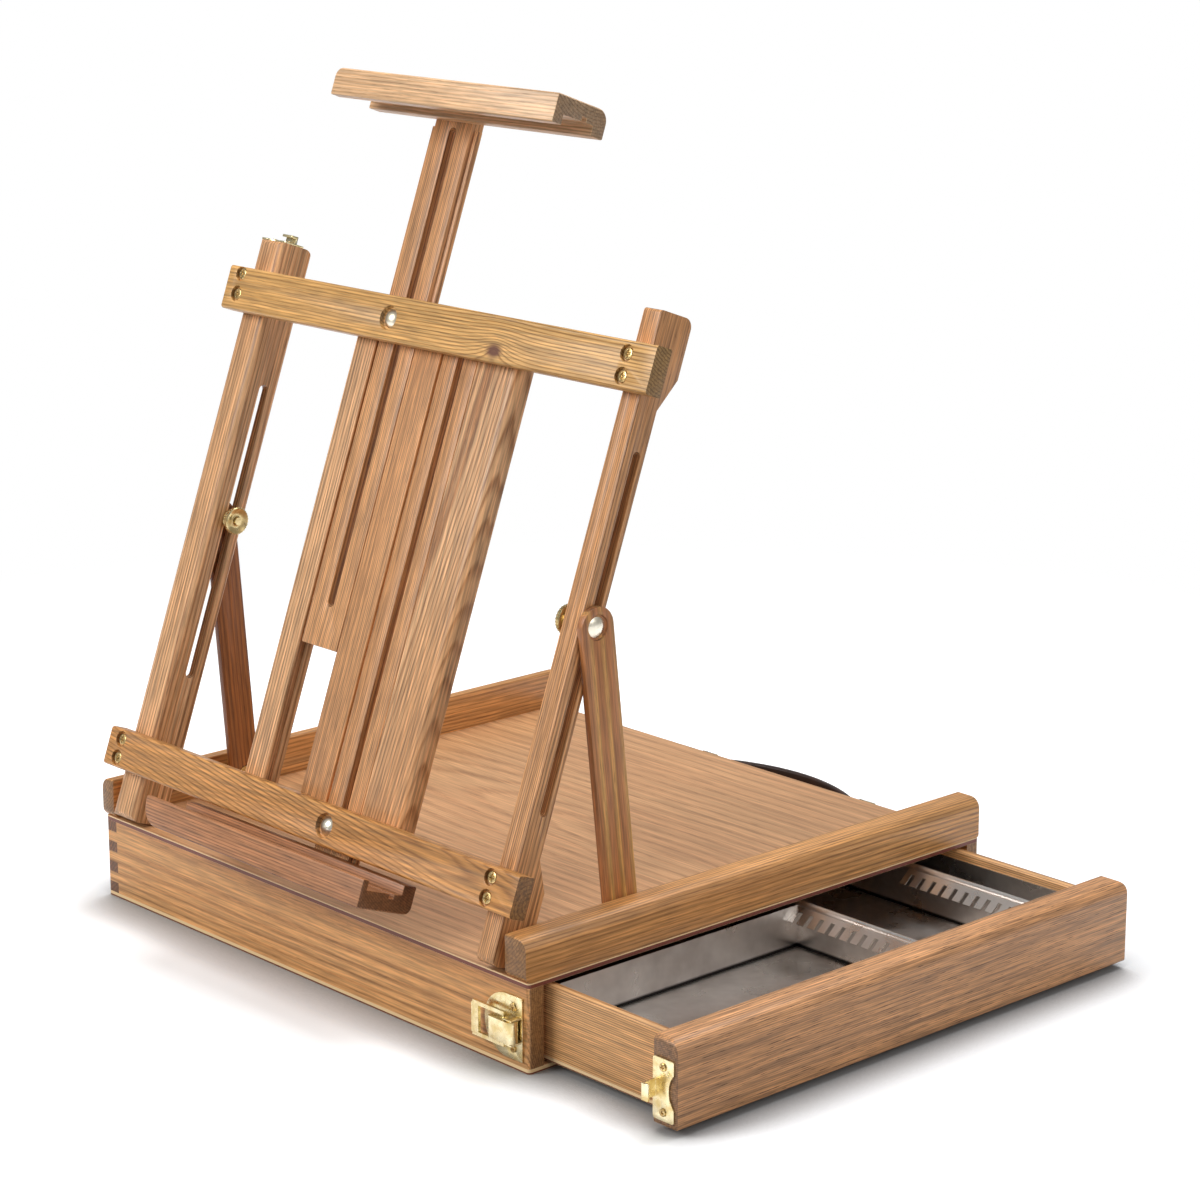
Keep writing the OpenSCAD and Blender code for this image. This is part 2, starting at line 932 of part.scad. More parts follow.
// A jaw's outline, rear face at Y = 0, its canvas channel open downwards
module jaw_side(lip, round_top) {
    difference() {
        translate([-clamp_d, 0]) rounded(clamp_d, clamp_h, [1, 1, round_top, 1]);
        translate([lip - clamp_d, -1]) square([clamp_d - lip - jaw_heel, jaw_channel + 1]);
        translate([jaw_notch_y, -1]) square([jaw_notch_w, jaw_channel + jaw_notch_h + 1]);
    }
}

module top_clamp() {
    color("BurlyWood") on_frame() translate([clamp_x, -slat_face, clamp_z]) intersection() {
        along_x(-clamp_len / 2, clamp_len / 2) jaw_side(clamp_lip, 8);
        along_y(-clamp_d, 0) translate([-clamp_len / 2, 0])
            rounded(clamp_len, clamp_h, [0, 0, 1, 6]);
    }
}

module canvas_ledge() {
    color("Peru") on_frame() translate([ledge_x, -slat_face, ledge_z]) intersection() {
        along_x(-ledge_len / 2, ledge_len / 2) translate([0, clamp_h]) mirror([0, 1])
            jaw_side(ledge_lip, 5);
        along_y(-clamp_d, 0) translate([-ledge_len / 2, 0])
            rounded(ledge_len, clamp_h, [15, 1, 0, 0]);
    }
}

// Thumb knobs

// A flange and a hub standing on the origin, with a knurled, dished disc on top
module knob() {
    knob_r = knob_d / 2;
    difference() {
        union() {
            cylinder(h = flange_h, r = flange_r);
            cylinder(h = knob_h, r = hub_r);
            translate([0, 0, knob_h - knob_t]) cylinder(h = knob_t, r = knob_r);
        }
        translate([0, 0, knob_h - dish_h + dish_r]) sphere(dish_r);
        for (i = [0 : knurl_n - 1]) rotate(i * 360 / knurl_n)
            translate([knob_r + knurl_out, 0, knob_h - knob_t - 1])
                cylinder(h = knob_t + 2, r = knurl_r);
        translate([0, 0, -1]) cylinder(h = knob_h + 2, r = shank_r + run);
    }
}

module mast_knob_upper() {
    color("Goldenrod") on_frame()
        translate([slot_high_x, slat_t - slat_face + gap, bar_high_z + bar_high_h / 2])
            rotate([-90, 0, 0]) knob();
}

module mast_knob_lower() {
    color("Goldenrod") on_frame()
        translate([slot_low_x, slat_t - slat_face + gap, bar_low_z + bar_low_h / 2])
            rotate([-90, 0, 0]) knob();
}

module clamp_knob_left() {
    color("Goldenrod") on_frame() translate([post_left_in + gap, slot_left_y, bolt_left_z])
        rotate([0, 90, 0]) knob();
}

module clamp_knob_right() {
    color("Goldenrod") on_frame() translate([post_right_in - gap, slot_right_y, bolt_right_z])
        rotate([0, -90, 0]) knob();
}

// The left clamp bolt, with a collar that fills the groove beside the stay
module clamp_bolt_left() {
    color("Goldenrod") on_frame() translate([0, slot_left_y, bolt_left_z]) {
        rod_x(gap - stay_left_in, post_left_in + gap + knob_h + stud_out, shank_r);
        rod_x(gap - stay_left_in, post_left_in - cheek_t - gap, collar_r);
    }
}

module clamp_bolt_right() {
    color("Goldenrod") on_frame() translate([0, slot_right_y, bolt_right_z])
        rod_x(post_right_in - gap - knob_h - stud_out, post_out - gap, shank_r);
}

// Stays, drawn upright from their lower pivots

module stay(inner, w, stay_lean) {
    on_stay(stay_lean) difference() {
        along_x(inner, inner + stay_t) translate([0, -w / 2]) slot_shape(w, stay_len + w);
        rod_x(inner - 1, inner + stay_t + 1, pin_r + run);
        rod_x(inner - 1, inner + stay_head_t + head_play, head_r + gap);
        translate([0, 0, stay_len]) {
            rod_x(inner - 1, inner + stay_t + 1, shank_r + slack);
            rod_x(inner + stay_t - stay_sink, inner + stay_t + 1, cup_r);
        }
    }
}

module stay_left() {
    color("Sienna") mirror([1, 0, 0]) stay(stay_left_in, stay_left_w, lean_left);
}

module stay_right() {
    color("Sienna") stay(stay_in, stay_right_w, lean_right);
}

// The bolt's head in a stay's outer face, with the stub of its shank
module stay_bolt_head(inner, stay_lean) {
    on_stay(stay_lean) translate([inner + stay_t - stay_sink, 0, stay_len]) {
        rotate([0, 90, 0]) dome(head_r, stay_head_h);
        rod_x(stay_sink + slack - stay_t, 0, shank_r);
    }
}

module stay_bolt_head_left() {
    color("Goldenrod") mirror([1, 0, 0]) stay_bolt_head(stay_left_in, lean_left);
}

module stay_bolt_head_right() {
    color("Goldenrod") stay_bolt_head(stay_in, lean_right);
}

// Latches and keepers, each drawn in its own axes

module at_drawer_latch() {
    translate([latch_x, -hy, latch_z]) children();
}

module at_frame_latch() {
    translate([frame_latch_x, hy, frame_latch_z]) rotate([0, -90, 180]) children();
}

module at_drawer_keeper() {
    translate([drawer_x + gap, 0.5 - hy, latch_z]) children();
}

module at_frame_keeper() {
    translate([frame_latch_x, keeper_z, post_len]) rotate([-90, 0, -90]) children();
}

module latch_nails(grow) {
    for (side = [-1, 1]) translate([latch_screw_x, 0, side * latch_screw_z])
        rod_y(-latch_t - 1, nail_len, nail_r + grow);
}

module keeper_nails(h, grow) {
    for (side = [-1, 1]) translate([keeper_w / 2, 0, side * (h / 2 - keeper_screw_in)])
        rod_y(-latch_t - 1, nail_len, nail_r + grow);
}

// A small screw, its head's bearing face at the origin, driven towards +Y
module plate_screw() {
    difference() {
        rotate([90, 0, 0]) dome(plate_screw_r, plate_screw_h);
        translate([-plate_screw_r, -2 * plate_screw_h, -0.3])
            cube([2 * plate_screw_r, 1.4 * plate_screw_h, 0.6]);
    }
    rod_y(0, nail_len - 0.5, nail_r);
}

module latch_screws() {
    for (side = [-1, 1]) translate([latch_screw_x, -latch_t, side * latch_screw_z])
        plate_screw();
}

module keeper_screws(h) {
    for (side = [-1, 1]) translate([keeper_w / 2, -latch_t, side * (h / 2 - keeper_screw_in)])
        plate_screw();
}

// A D-shaped plate with two lugs and the lever's pin
module latch_plate() {
    half = latch_h / 2;
    difference() {
        along_y(-latch_t, 0) intersection() {
            union() {
                translate([half - latch_w, 0]) circle(half);
                translate([half - latch_w, -half]) square([latch_w - half, latch_h]);
            }
            translate([-latch_w, -half]) square([latch_w, latch_h]);
        }
        latch_nails(slack);
    }
    for (side = [0, 1]) mirror([0, 0, side])
        span([lever_x - lug_half, -lever_y - lug_out, lever_half + gap],
            [lever_x + lug_half, -latch_t + eps, lever_half + gap + lug_t]);
    translate([lever_x, -lever_y, -lever_half - gap - eps])
        cylinder(h = 2 * (lever_half + gap + eps), r = lever_pin_r);
}

// The lever's outline in plan, round at its pin
module lever_plan() {
    translate([lever_x, -lever_y]) circle(lever_r);
    translate([lever_x - lever_len, -lever_y - lever_r])
        rounded(lever_len, 2 * lever_r - 1, [2, 0, 0, 1]);
}

module latch_lever() {
    difference() {
        translate([0, 0, -lever_half]) linear_extrude(2 * lever_half) lever_plan();
        translate([lever_x, -lever_y, -lever_half - 1])
            cylinder(h = 2 * lever_half + 2, r = lever_pin_r + run);
        translate([loop_x - 1, -lever_y, -lever_half - 1])
            cylinder(h = 2 * lever_half + 2, r = wire_r + run);
    }
}

// A flat loop whose two arms carry pins that turn in the lever's sides
module latch_loop() {
    translate([loop_x - 1, -lever_y, 0]) {
        for (side = [0, 1]) mirror([0, 0, side]) {
            translate([0, 0, lever_half - loop_tuck])
                cylinder(h = loop_half - lever_half + loop_tuck, r = wire_r);
            span([-loop_len, -wire_r, loop_half - wire_r],
                [wire_r, wire_r, loop_half - wire_r + loop_arm]);
        }
        span([-loop_len - wire_r, -wire_r, -loop_half],
            [loop_end - loop_len - wire_r, wire_r, loop_half]);
    }
}

// A plate with a hook for the loop, horned along its far edge
module keeper(h, out) {
    difference() {
        along_y(-latch_t, 0) difference() {
            translate([0, -h / 2]) rounded(keeper_w, h, [2, 1, 1, 2]);
            translate([keeper_w + h * horn_place, 0]) circle(h * horn_share);
        }
        keeper_nails(h, slack);
    }
    span([hook_x, -out, -hook_half], [hook_x + hook_t, -latch_t + eps, hook_half]);
    span([hook_x, -out - hook_t, -hook_half], [hook_x + hook_len, -out, hook_half]);
}

module drawer_latch_plate() {
    color("Gold") at_drawer_latch() latch_plate();
}

module drawer_latch_screws() {
    color("Gold") at_drawer_latch() latch_screws();
}

module drawer_latch_lever() {
    color("Gold") at_drawer_latch() latch_lever();
}

module drawer_latch_loop() {
    color("Gold") at_drawer_latch() latch_loop();
}

module frame_latch_plate() {
    color("Gold") at_frame_latch() latch_plate();
}

module frame_latch_screws() {
    color("Gold") at_frame_latch() latch_screws();
}

module frame_latch_lever() {
    color("Gold") at_frame_latch() latch_lever();
}

module frame_latch_loop() {
    color("Gold") at_frame_latch() latch_loop();
}

module drawer_keeper() {
    color("Gold") at_drawer_keeper() keeper(keeper_h, hook_out);
}

module drawer_keeper_screws() {
    color("Gold") at_drawer_keeper() keeper_screws(keeper_h);
}

module frame_keeper() {
    color("Gold") on_frame() at_frame_keeper() keeper(keeper_small_h, hook_far);
}

module frame_keeper_screws() {
    color("Gold") on_frame() at_frame_keeper() keeper_screws(keeper_small_h);
}
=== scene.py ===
"""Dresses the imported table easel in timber, brass, tinplate and leather, and lights it on a pale floor."""
import json
import logging
import math
from dataclasses import dataclass, field, replace
from enum import Enum
from functools import partial
from typing import Any, Iterable

import bmesh
import bpy
from mathutils import Matrix, Vector


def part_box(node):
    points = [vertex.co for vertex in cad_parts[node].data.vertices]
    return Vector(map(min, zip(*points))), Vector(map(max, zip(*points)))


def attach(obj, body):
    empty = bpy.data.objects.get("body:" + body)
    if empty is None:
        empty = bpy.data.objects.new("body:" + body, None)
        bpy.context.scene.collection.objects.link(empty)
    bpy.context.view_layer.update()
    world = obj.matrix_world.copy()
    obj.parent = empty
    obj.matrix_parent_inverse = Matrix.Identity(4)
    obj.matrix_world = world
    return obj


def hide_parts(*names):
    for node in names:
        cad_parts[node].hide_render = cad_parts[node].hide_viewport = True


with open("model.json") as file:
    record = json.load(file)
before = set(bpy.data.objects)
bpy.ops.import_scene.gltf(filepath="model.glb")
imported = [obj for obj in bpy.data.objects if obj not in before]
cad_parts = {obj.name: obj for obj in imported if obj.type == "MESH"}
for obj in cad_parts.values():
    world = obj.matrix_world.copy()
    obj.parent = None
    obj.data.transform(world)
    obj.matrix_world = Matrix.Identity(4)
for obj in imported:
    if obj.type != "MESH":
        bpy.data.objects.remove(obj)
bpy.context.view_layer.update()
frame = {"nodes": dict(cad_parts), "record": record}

Material, Mesh, Tree = bpy.types.Material, bpy.types.Mesh, bpy.types.NodeTree
Triple = tuple[float, float, float]

logging.basicConfig(level=logging.INFO, format="%(message)s")
LOG = logging.getLogger("easel")
MM = 0.001
RECORD = frame["record"]
JOINTS = {joint["name"]: joint for joint in RECORD["behaviour"]["joints"]}
BODY_OF = {node: body for body, nodes in RECORD["behaviour"]["bodies"].items() for node in nodes}
MAST_AXIS = Vector(JOINTS["upper_slat_slide"]["axis"])
LEAN = math.atan2(MAST_AXIS.y, MAST_AXIS.z)

# The node types that are used most, and the settings that go with them
MATH, VECTOR, RANGE, MIX = "Math", "VectorMath", "MapRange", "Mix"
SPLIT, NOISE = "SeparateXYZ", "TexNoise"
SMOOTH = {"interpolation_type": "SMOOTHSTEP"}
COLOUR = {"data_type": "RGBA"}


# Small tools

def linear(code: str) -> tuple[float, float, float, float]:
    """Turns an sRGB hex colour into linear values.

    Args:
        code: six hex digits after a hash.
    Returns:
        The linear red, green and blue, and an alpha of 1.
    """
    parts = [int(code[i:i + 2], 16) / 255 for i in (1, 3, 5)]
    red, green, blue = (c / 12.92 if c <= 0.04045 else ((c + 0.055) / 1.055) ** 2.4 for c in parts)
    return (red, green, blue, 1.0)


def grey(value: float) -> tuple[float, float, float, float]:
    """Gives a linear grey of one brightness."""
    return (value, value, value, 1.0)


def new_material(name: str) -> tuple[Material, partial]:
    """Starts a material with an empty node tree.

    Args:
        name: the material's name.
    Returns:
        The material, and add_node for its tree.
    """
    material = bpy.data.materials.new(name)
    material.use_nodes = True
    material.node_tree.nodes.clear()
    return material, partial(add_node, material.node_tree)


def new_group(name: str, kind: str, inputs: dict[str, str],
              outputs: dict[str, str]) -> tuple[Tree, partial, Any]:
    """Starts a node group with named inputs and outputs.

    Args:
        name: the group's name.
        kind: Shader or Geometry.
        inputs: the names of the inputs of each socket type.
        outputs: the names of the outputs of each socket type.
    Returns:
        The group, add_node for its tree, and what its inputs give.
    """
    tree = bpy.data.node_groups.new(name, f"{kind}NodeTree")
    for way, sockets in (("INPUT", inputs), ("OUTPUT", outputs)):
        for socket, labels in sockets.items():
            for label in labels.split(", "):
                tree.interface.new_socket(name=label, in_out=way, socket_type=f"NodeSocket{socket}")
    put = partial(add_node, tree)
    return tree, put, put("NodeGroupInput").outputs


def add_node(tree: Tree, kind: str, inputs: dict[Any, Any] | Iterable[Any] = (),
             operation: str = "", **settings: Any) -> bpy.types.Node:
    """Adds one node with its settings, values and links.

    Args:
        tree: the node tree.
        kind: the node's type name, without the ShaderNode or GeometryNode in front.
        inputs: what goes into the sockets in use, in order, or into named or numbered ones:
            a value, an output socket, or a node, which stands for its first output in use.
        operation: the node's operation, if it has one.
        settings: the node's other properties.
    Returns:
        The new node.
    """
    made = tree.nodes.new(kind if kind.startswith("Node") else tree.bl_idname[:-4] + kind)
    for name, value in settings.items():
        setattr(made, name, value)
    if operation:
        made.operation = operation
    in_use = [socket for socket in made.inputs if socket.enabled]
    pairs = ([(made.inputs[key], value) for key, value in inputs.items()] if isinstance(inputs, dict)
             else zip(in_use, inputs))
    for socket, value in pairs:
        if isinstance(value, bpy.types.Node):
            value = next(out for out in value.outputs if out.enabled)
        if isinstance(value, bpy.types.NodeSocket):
            tree.links.new(value, socket)
        else:
            socket.default_value = value
    return made


def centre(node: str) -> Vector:
    """Finds the middle of a CAD node's box."""
    low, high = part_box(node)
    return (Vector(low) + Vector(high)) / 2


def basis(axis: Vector, origin: Vector) -> Matrix:
    """Places local Z along an axis.

    Args:
        axis: where local Z points.
        origin: where the local origin lies.
    Returns:
        The placing matrix.
    """
    turn = Vector((0, 0, 1)).rotation_difference(axis.normalized()).to_matrix().to_4x4()
    return Matrix.Translation(origin) @ turn


def lathe(profile: list[tuple[float, float]], steps: int) -> bmesh.types.BMesh:
    """Turns a profile about local Z into a closed solid.

    Args:
        profile: radius and height of each point, from the axis and back to the axis.
        steps: flats round the axis.
    Returns:
        The new mesh, still in edit form.
    """
    shape = bmesh.new()
    rings = []
    for radius, height in profile:
        turns = [2 * math.pi * i / steps for i in range(steps)] if radius > 0 else [0.0]
        rings.append([shape.verts.new((radius * math.cos(a), radius * math.sin(a), height)) for a in turns])
    for low, high in zip(rings, rings[1:]):
        for i in range(steps):
            j = (i + 1) % steps
            corners = [low[i % len(low)], low[j % len(low)], high[j % len(high)], high[i % len(high)]]
            corners = list(dict.fromkeys(corners))
            if len(corners) > 2:
                shape.faces.new(corners)
    bmesh.ops.recalc_face_normals(shape, faces=shape.faces)
    return shape


def to_mesh(shape: bmesh.types.BMesh, name: str) -> Mesh:
    """Finishes an edit mesh, which is freed.

    Args:
        shape: the edit mesh.
        name: the new mesh's name.
    Returns:
        The finished mesh.
    """
    mesh = bpy.data.meshes.new(name)
    shape.to_mesh(mesh)
    shape.free()
    return mesh


def make_piece(name: str, mesh: Mesh, material: Material, node: str,
               stands_for_it: bool = True) -> bpy.types.Object:
    """Links a finished mesh as a piece that rides with a CAD node's body.

    Args:
        name: the piece's name.
        mesh: its finished mesh.
        material: its finish.
        node: the CAD node whose body and material slot it takes.
        stands_for_it: whether it replaces that node.
    Returns:
        The piece.
    """
    mesh.name = name
    mesh.materials.clear()
    mesh.materials.append(material)
    mesh.polygons.foreach_set("use_smooth", [True] * len(mesh.polygons))
    mesh.set_sharp_from_angle(angle=math.radians(32))
    piece = bpy.data.objects.new(name, mesh)
    bpy.context.scene.collection.objects.link(piece)
    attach(piece, BODY_OF[node])
    if stands_for_it:
        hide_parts(node)
    LOG.info("piece %-28s %6d faces on %s", name, len(mesh.polygons), BODY_OF[node])
    return piece


def applied(mesh: Mesh, kind: str, values: dict[str, Any] | None = None,
            **settings: Any) -> Mesh:
    """Runs one modifier on a mesh and keeps only its result.

    Args:
        mesh: what it works on.
        kind: the modifier's type.
        values: a value for each named input of its node group, if it has one.
        settings: the modifier's own properties.
    Returns:
        The plain result.
    """
    work = bpy.data.objects.new("work", mesh)
    bpy.context.scene.collection.objects.link(work)
    modifier = work.modifiers.new("work", kind)
    for name, value in settings.items():
        setattr(modifier, name, value)
    for item in modifier.node_group.interface.items_tree if values else ():
        if item.item_type == "SOCKET" and item.in_out == "INPUT" and item.name in values:
            modifier[item.identifier] = values[item.name]
    graph = bpy.context.evaluated_depsgraph_get()
    result = bpy.data.meshes.new_from_object(work.evaluated_get(graph))
    bpy.data.objects.remove(work)
    return result


def clean_copy(node: str) -> bmesh.types.BMesh:
    """Copies a CAD node's mesh with its doubled corners merged.

    Args:
        node: the CAD node's name.
    Returns:
        The copy, in edit form.
    """
    shape = bmesh.new()
    shape.from_mesh(frame["nodes"][node].data)
    bmesh.ops.remove_doubles(shape, verts=shape.verts, dist=1e-6)
    return shape


def islands(node: str, turn: Matrix) -> list[tuple[Vector, Vector]]:
    """Finds the box of each separate solid in a node, in turned axes.

    Args:
        node: the CAD node's name.
        turn: from the world's axes to the wanted ones.
    Returns:
        Each solid's low and high corner.
    """
    shape = clean_copy(node)
    left = dict.fromkeys(shape.verts)
    boxes = []
    while left:
        group, todo = [], [left.popitem()[0]]
        while todo:
            vert = todo.pop()
            group.append(turn @ vert.co)
            for near in (edge.other_vert(vert) for edge in vert.link_edges):
                if near in left:
                    del left[near]
                    todo.append(near)
        boxes.append(tuple(Vector([pick(p[i] for p in group) for i in range(3)]) for pick in (min, max)))
    shape.free()
    return boxes


# Timber

class Grain(Enum):
    """Which way a piece's grain runs, as the turn that lays it along local X."""

    ALONG_X = (0.0, 0.0, 0.0)
    ALONG_Y = (0.0, 0.0, -math.pi / 2)
    ALONG_MAST = (LEAN, math.pi / 2, 0.0)


@dataclass(frozen=True)
class Timber:
    """One cut of elm, planed and varnished.

    Attributes:
        pale: colour of the late wood.
        dark: colour of the rings' open pores.
        blush: colour that drifts in along the board.
        ring: spacing of the growth rings, in millimetres.
        warp: how far the rings wander, in millimetres.
        pith: where the tree's middle lies from the board's, across the grain, in millimetres.
        contrast: strength of the rings.
        pores: strength of the open pores.
        slope: how far the board runs out of line with the tree, which draws arches on it.
        figure: strength of the streaks and fibres.
        knot: place along and across the board and size of a knot, in millimetres.
    """

    pale: str
    dark: str
    blush: str
    ring: float
    warp: float
    pith: tuple[float, float]
    contrast: float
    pores: float
    slope: float = 0.0
    figure: float = 1.0
    knot: Triple = (0.0, 0.0, 0.0)


TIMBER_INPUTS = {
    "Vector": "Grain, Centre, Pith, Knot", "Color": "Pale, Dark, Blush",
    "Float": "Seed, Ring, Warp, Contrast, Pores, Knot Size, Slope, Figure",
}
# Size of each pattern along and across the grain, in millimetres, and its detail. Real fibres
# and pores are finer than a millimetre, and are drawn as coarse as they need to show.
PATTERNS = {
    "drift": (200.0, 45.45, 2.0), "waver": (111.1, 3.03, 3.0), "streak": (250.0, 2.083, 2.0),
    "fibre": (25.0, 1.111, 4.0), "pore": (9.09, 0.4348, 1.0), "tone": (285.7, 38.46, 2.0),
}


def build_timber_group() -> Tree:
    """Builds the solid timber that every board is cut from.

    Returns:
        A shader group with Color, Height and Roughness outputs.
    """
    outputs = {"Color": "Color", "Float": "Height, Roughness"}
    tree, put, given = new_group("Timber", "Shader", TIMBER_INPUTS, outputs)
    coords = put("TexCoord").outputs
    shifted = put(VECTOR, (coords["Object"], given["Centre"]), "SUBTRACT")
    local = put("Mapping", {"Vector": shifted, "Rotation": given["Grain"]})
    facing = put("Mapping", {"Vector": coords["Normal"], "Rotation": given["Grain"]})
    noise = {}
    for name, (long, wide, detail) in PATTERNS.items():
        stretch = (1 / (long * MM), 1 / (wide * MM), 1 / (wide * MM))
        scaled = put(VECTOR, (local, stretch), "MULTIPLY")
        at = {"Vector": scaled, "W": given["Seed"], "Scale": 1.0, "Detail": detail}
        noise[name] = put(NOISE, at, noise_dimensions="4D").outputs

    # Rings round the pith, which wander along the board
    drift = put(VECTOR, (noise["drift"]["Color"], (0.5, 0.5, 0.5)), "SUBTRACT")
    drift = put(VECTOR, (drift, given["Warp"]), "SCALE")
    bent = put(VECTOR, (local, drift), "ADD")
    lift = put(MATH, (put(SPLIT, (local,)), given["Slope"]), "MULTIPLY")
    bent = put(VECTOR, (bent, put("CombineXYZ", {2: lift})), "ADD")
    off_pith = put(VECTOR, (bent, given["Pith"]), "SUBTRACT")
    off_pith = put(VECTOR, (off_pith, (0.0, 1.0, 1.0)), "MULTIPLY")
    radius = put(VECTOR, (off_pith,), "LENGTH")

    # A knot through the board, which the rings pass round
    from_knot = put(VECTOR, (local, given["Knot"]), "SUBTRACT")
    from_knot = put(VECTOR, (from_knot, (0.6, 0.0, 1.0)), "MULTIPLY")
    from_knot = put(VECTOR, (from_knot,), "LENGTH")
    knot_size = put(MATH, (given["Knot Size"], 0.01 * MM), "MAXIMUM")
    from_knot = put(MATH, (from_knot, knot_size), "DIVIDE")
    knot_on = put(MATH, (given["Knot Size"], 0.1 * MM), "GREATER_THAN")
    push = put(MATH, (put(MATH, (from_knot, -0.9), "MULTIPLY"),), "EXPONENT")
    push = put(MATH, (push, knot_on), "MULTIPLY")
    radius = put(MATH, (push, 9 * MM, radius), "MULTIPLY_ADD")

    # Each ring's edge wavers a little, then its wood turns from early and porous to late and dense
    waver = put(MATH, (given["Warp"], 0.25), "MULTIPLY")
    waver = put(MATH, (waver, 1.1 * MM), "MINIMUM")
    radius = put(MATH, (noise["waver"]["Fac"], waver, radius), "MULTIPLY_ADD")
    ring = put(MATH, (put(MATH, (radius, given["Ring"]), "DIVIDE"),), "FRACT")
    rising = put(RANGE, (ring, 0.02, 0.42), **SMOOTH)
    closing = put(RANGE, (ring, 0.8, 1.0, 1.0, 0.0), **SMOOTH)
    late = put(MATH, (rising, closing), "MULTIPLY")
    pore = put(RANGE, (noise["pore"]["Fac"], 0.56, 0.68), **SMOOTH)
    pore = put(MATH, (pore, put(MATH, (1.15, late), "SUBTRACT")), "MULTIPLY")
    pore = put(MATH, (pore, given["Pores"]), "MULTIPLY", use_clamp=True)

    # Colour: rings, slow drifts of tone, streaks and fibres, pores, dark end grain deepened with painted
    # shade, the knot's core
    early = put(MATH, (1.0, late), "SUBTRACT")
    early = put(MATH, (early, given["Contrast"]), "MULTIPLY")
    dense = put(MATH, (1.0, early), "SUBTRACT")
    base = put(MIX, (dense, given["Dark"], given["Pale"]), **COLOUR)
    tone = put(RANGE, (noise["tone"]["Fac"], 0.36, 0.66, 0.0, 0.5), **SMOOTH)
    base = put(MIX, (tone, base, given["Blush"]), **COLOUR)
    streak = put(RANGE, (noise["streak"]["Fac"], 0.34, 0.66, 0.82, 1.15), **SMOOTH)
    bright = put(RANGE, (noise["fibre"]["Fac"], 0.25, 0.75, 0.68, 1.3), **SMOOTH)
    bright = put(MATH, (bright, streak, -1.0), "MULTIPLY_ADD")
    bright = put(MATH, (bright, given["Figure"], 1.0), "MULTIPLY_ADD")
    bright = put(MATH, (bright, put(MATH, (1.0, pore), "SUBTRACT")), "MULTIPLY")
    # End faces darken to 0.45: end grain is darker under varnish, and the darkening is deepened with painted
    # shade for the shadow on the ends.
    end = put(MATH, (put(SPLIT, (facing,)),), "ABSOLUTE")
    end = put(RANGE, (end, 0.75, 0.97, 1.0, 0.45), **SMOOTH)
    bright = put(MATH, (bright, end), "MULTIPLY")
    colour = put(VECTOR, (base, bright), "SCALE")
    core = put(RANGE, (from_knot, 0.25, 0.8, 0.95, 0.0), **SMOOTH)
    core = put(MATH, (core, knot_on), "MULTIPLY")
    colour = put(MIX, (core, colour, linear("#62301e")), **COLOUR)

    height = put(MATH, (noise["fibre"]["Fac"], 0.6), "MULTIPLY")
    height = put(MATH, (height, pore), "SUBTRACT")
    rough = put(MATH, (pore, 0.3, 0.44), "MULTIPLY_ADD")
    put("NodeGroupOutput", (colour, height, rough))
    return tree


class TimberYard:
    """Cuts one material per board, so that no two boards share a figure."""

    def __init__(self) -> None:
        """Builds the shared group."""
        self.group = build_timber_group()
        self.cuts = 0

    def cut(self, node: str, timber: Timber, grain: Triple) -> Material:
        """Makes the material of one board: a thin, even coat of varnish over open-grained elm.

        Args:
            node: the board's CAD node.
            timber: its cut of wood.
            grain: the turn that lays its grain along local X.
        Returns:
            The new material.
        """
        self.cuts += 1
        material, put = new_material(f"varnished_elm_{node}")
        along, across, size = timber.knot
        values = {
            "Grain": grain, "Centre": tuple(centre(node)), "Seed": 3.7 * self.cuts,
            "Pith": (0.0, timber.pith[0] * MM, timber.pith[1] * MM), "Ring": timber.ring * MM,
            "Warp": timber.warp * MM, "Contrast": timber.contrast, "Pores": timber.pores,
            "Pale": linear(timber.pale), "Dark": linear(timber.dark), "Blush": linear(timber.blush),
            "Knot": (along * MM, 0.0, across * MM), "Knot Size": size * MM,
            "Slope": timber.slope, "Figure": timber.figure,
        }
        solid = put("Group", values, node_tree=self.group).outputs
        bump = put("Bump", {"Height": solid["Height"], "Strength": 0.3, "Distance": 0.15 * MM})
        skin = put("BsdfPrincipled", {
            "Base Color": solid["Color"], "Roughness": solid["Roughness"], "Normal": bump,
            "Coat Weight": 0.12, "Coat Roughness": 0.35})
        put("OutputMaterial", {"Surface": skin})
        return material

    def cut_ply(self, node: str, timber: Timber, core: tuple[float, float]) -> Material:
        """Makes a veneered panel, whose edges show its pale faces and its red core.

        Args:
            node: the panel's CAD node.
            timber: the face veneer.
            core: where the core begins and ends, as shares of the thickness from below.
        Returns:
            The new material.
        """
        low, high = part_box(node)
        material = self.cut(node, timber, Grain.ALONG_X.value)
        put = partial(add_node, material.node_tree)
        skin = next(n for n in material.node_tree.nodes if n.type == "BSDF_PRINCIPLED")
        face = skin.inputs["Base Color"].links[0].from_socket
        coords = put("TexCoord").outputs
        tall = put(SPLIT, (coords["Object"],)).outputs[2]
        flat = put(MATH, (put(SPLIT, (coords["Normal"],)).outputs[2],), "ABSOLUTE")
        edge = put(RANGE, (flat, 0.4, 0.8, 1.0, 0.0))
        way = put(RANGE, (tall, low[2], high[2]))
        above = put(RANGE, (way, core[0], core[0] + 0.03))
        below = put(RANGE, (way, core[1], core[1] + 0.03, 1.0, 0.0))
        inside = put(MATH, (above, below), "MULTIPLY")
        layers = put(MIX, (inside, linear("#f3d3a2"), linear("#73382a")), **COLOUR)
        mixed = put(MIX, (edge, face, layers), **COLOUR)
        material.node_tree.links.new(mixed.outputs[2], skin.inputs["Base Color"])
        return material


# Metal and leather

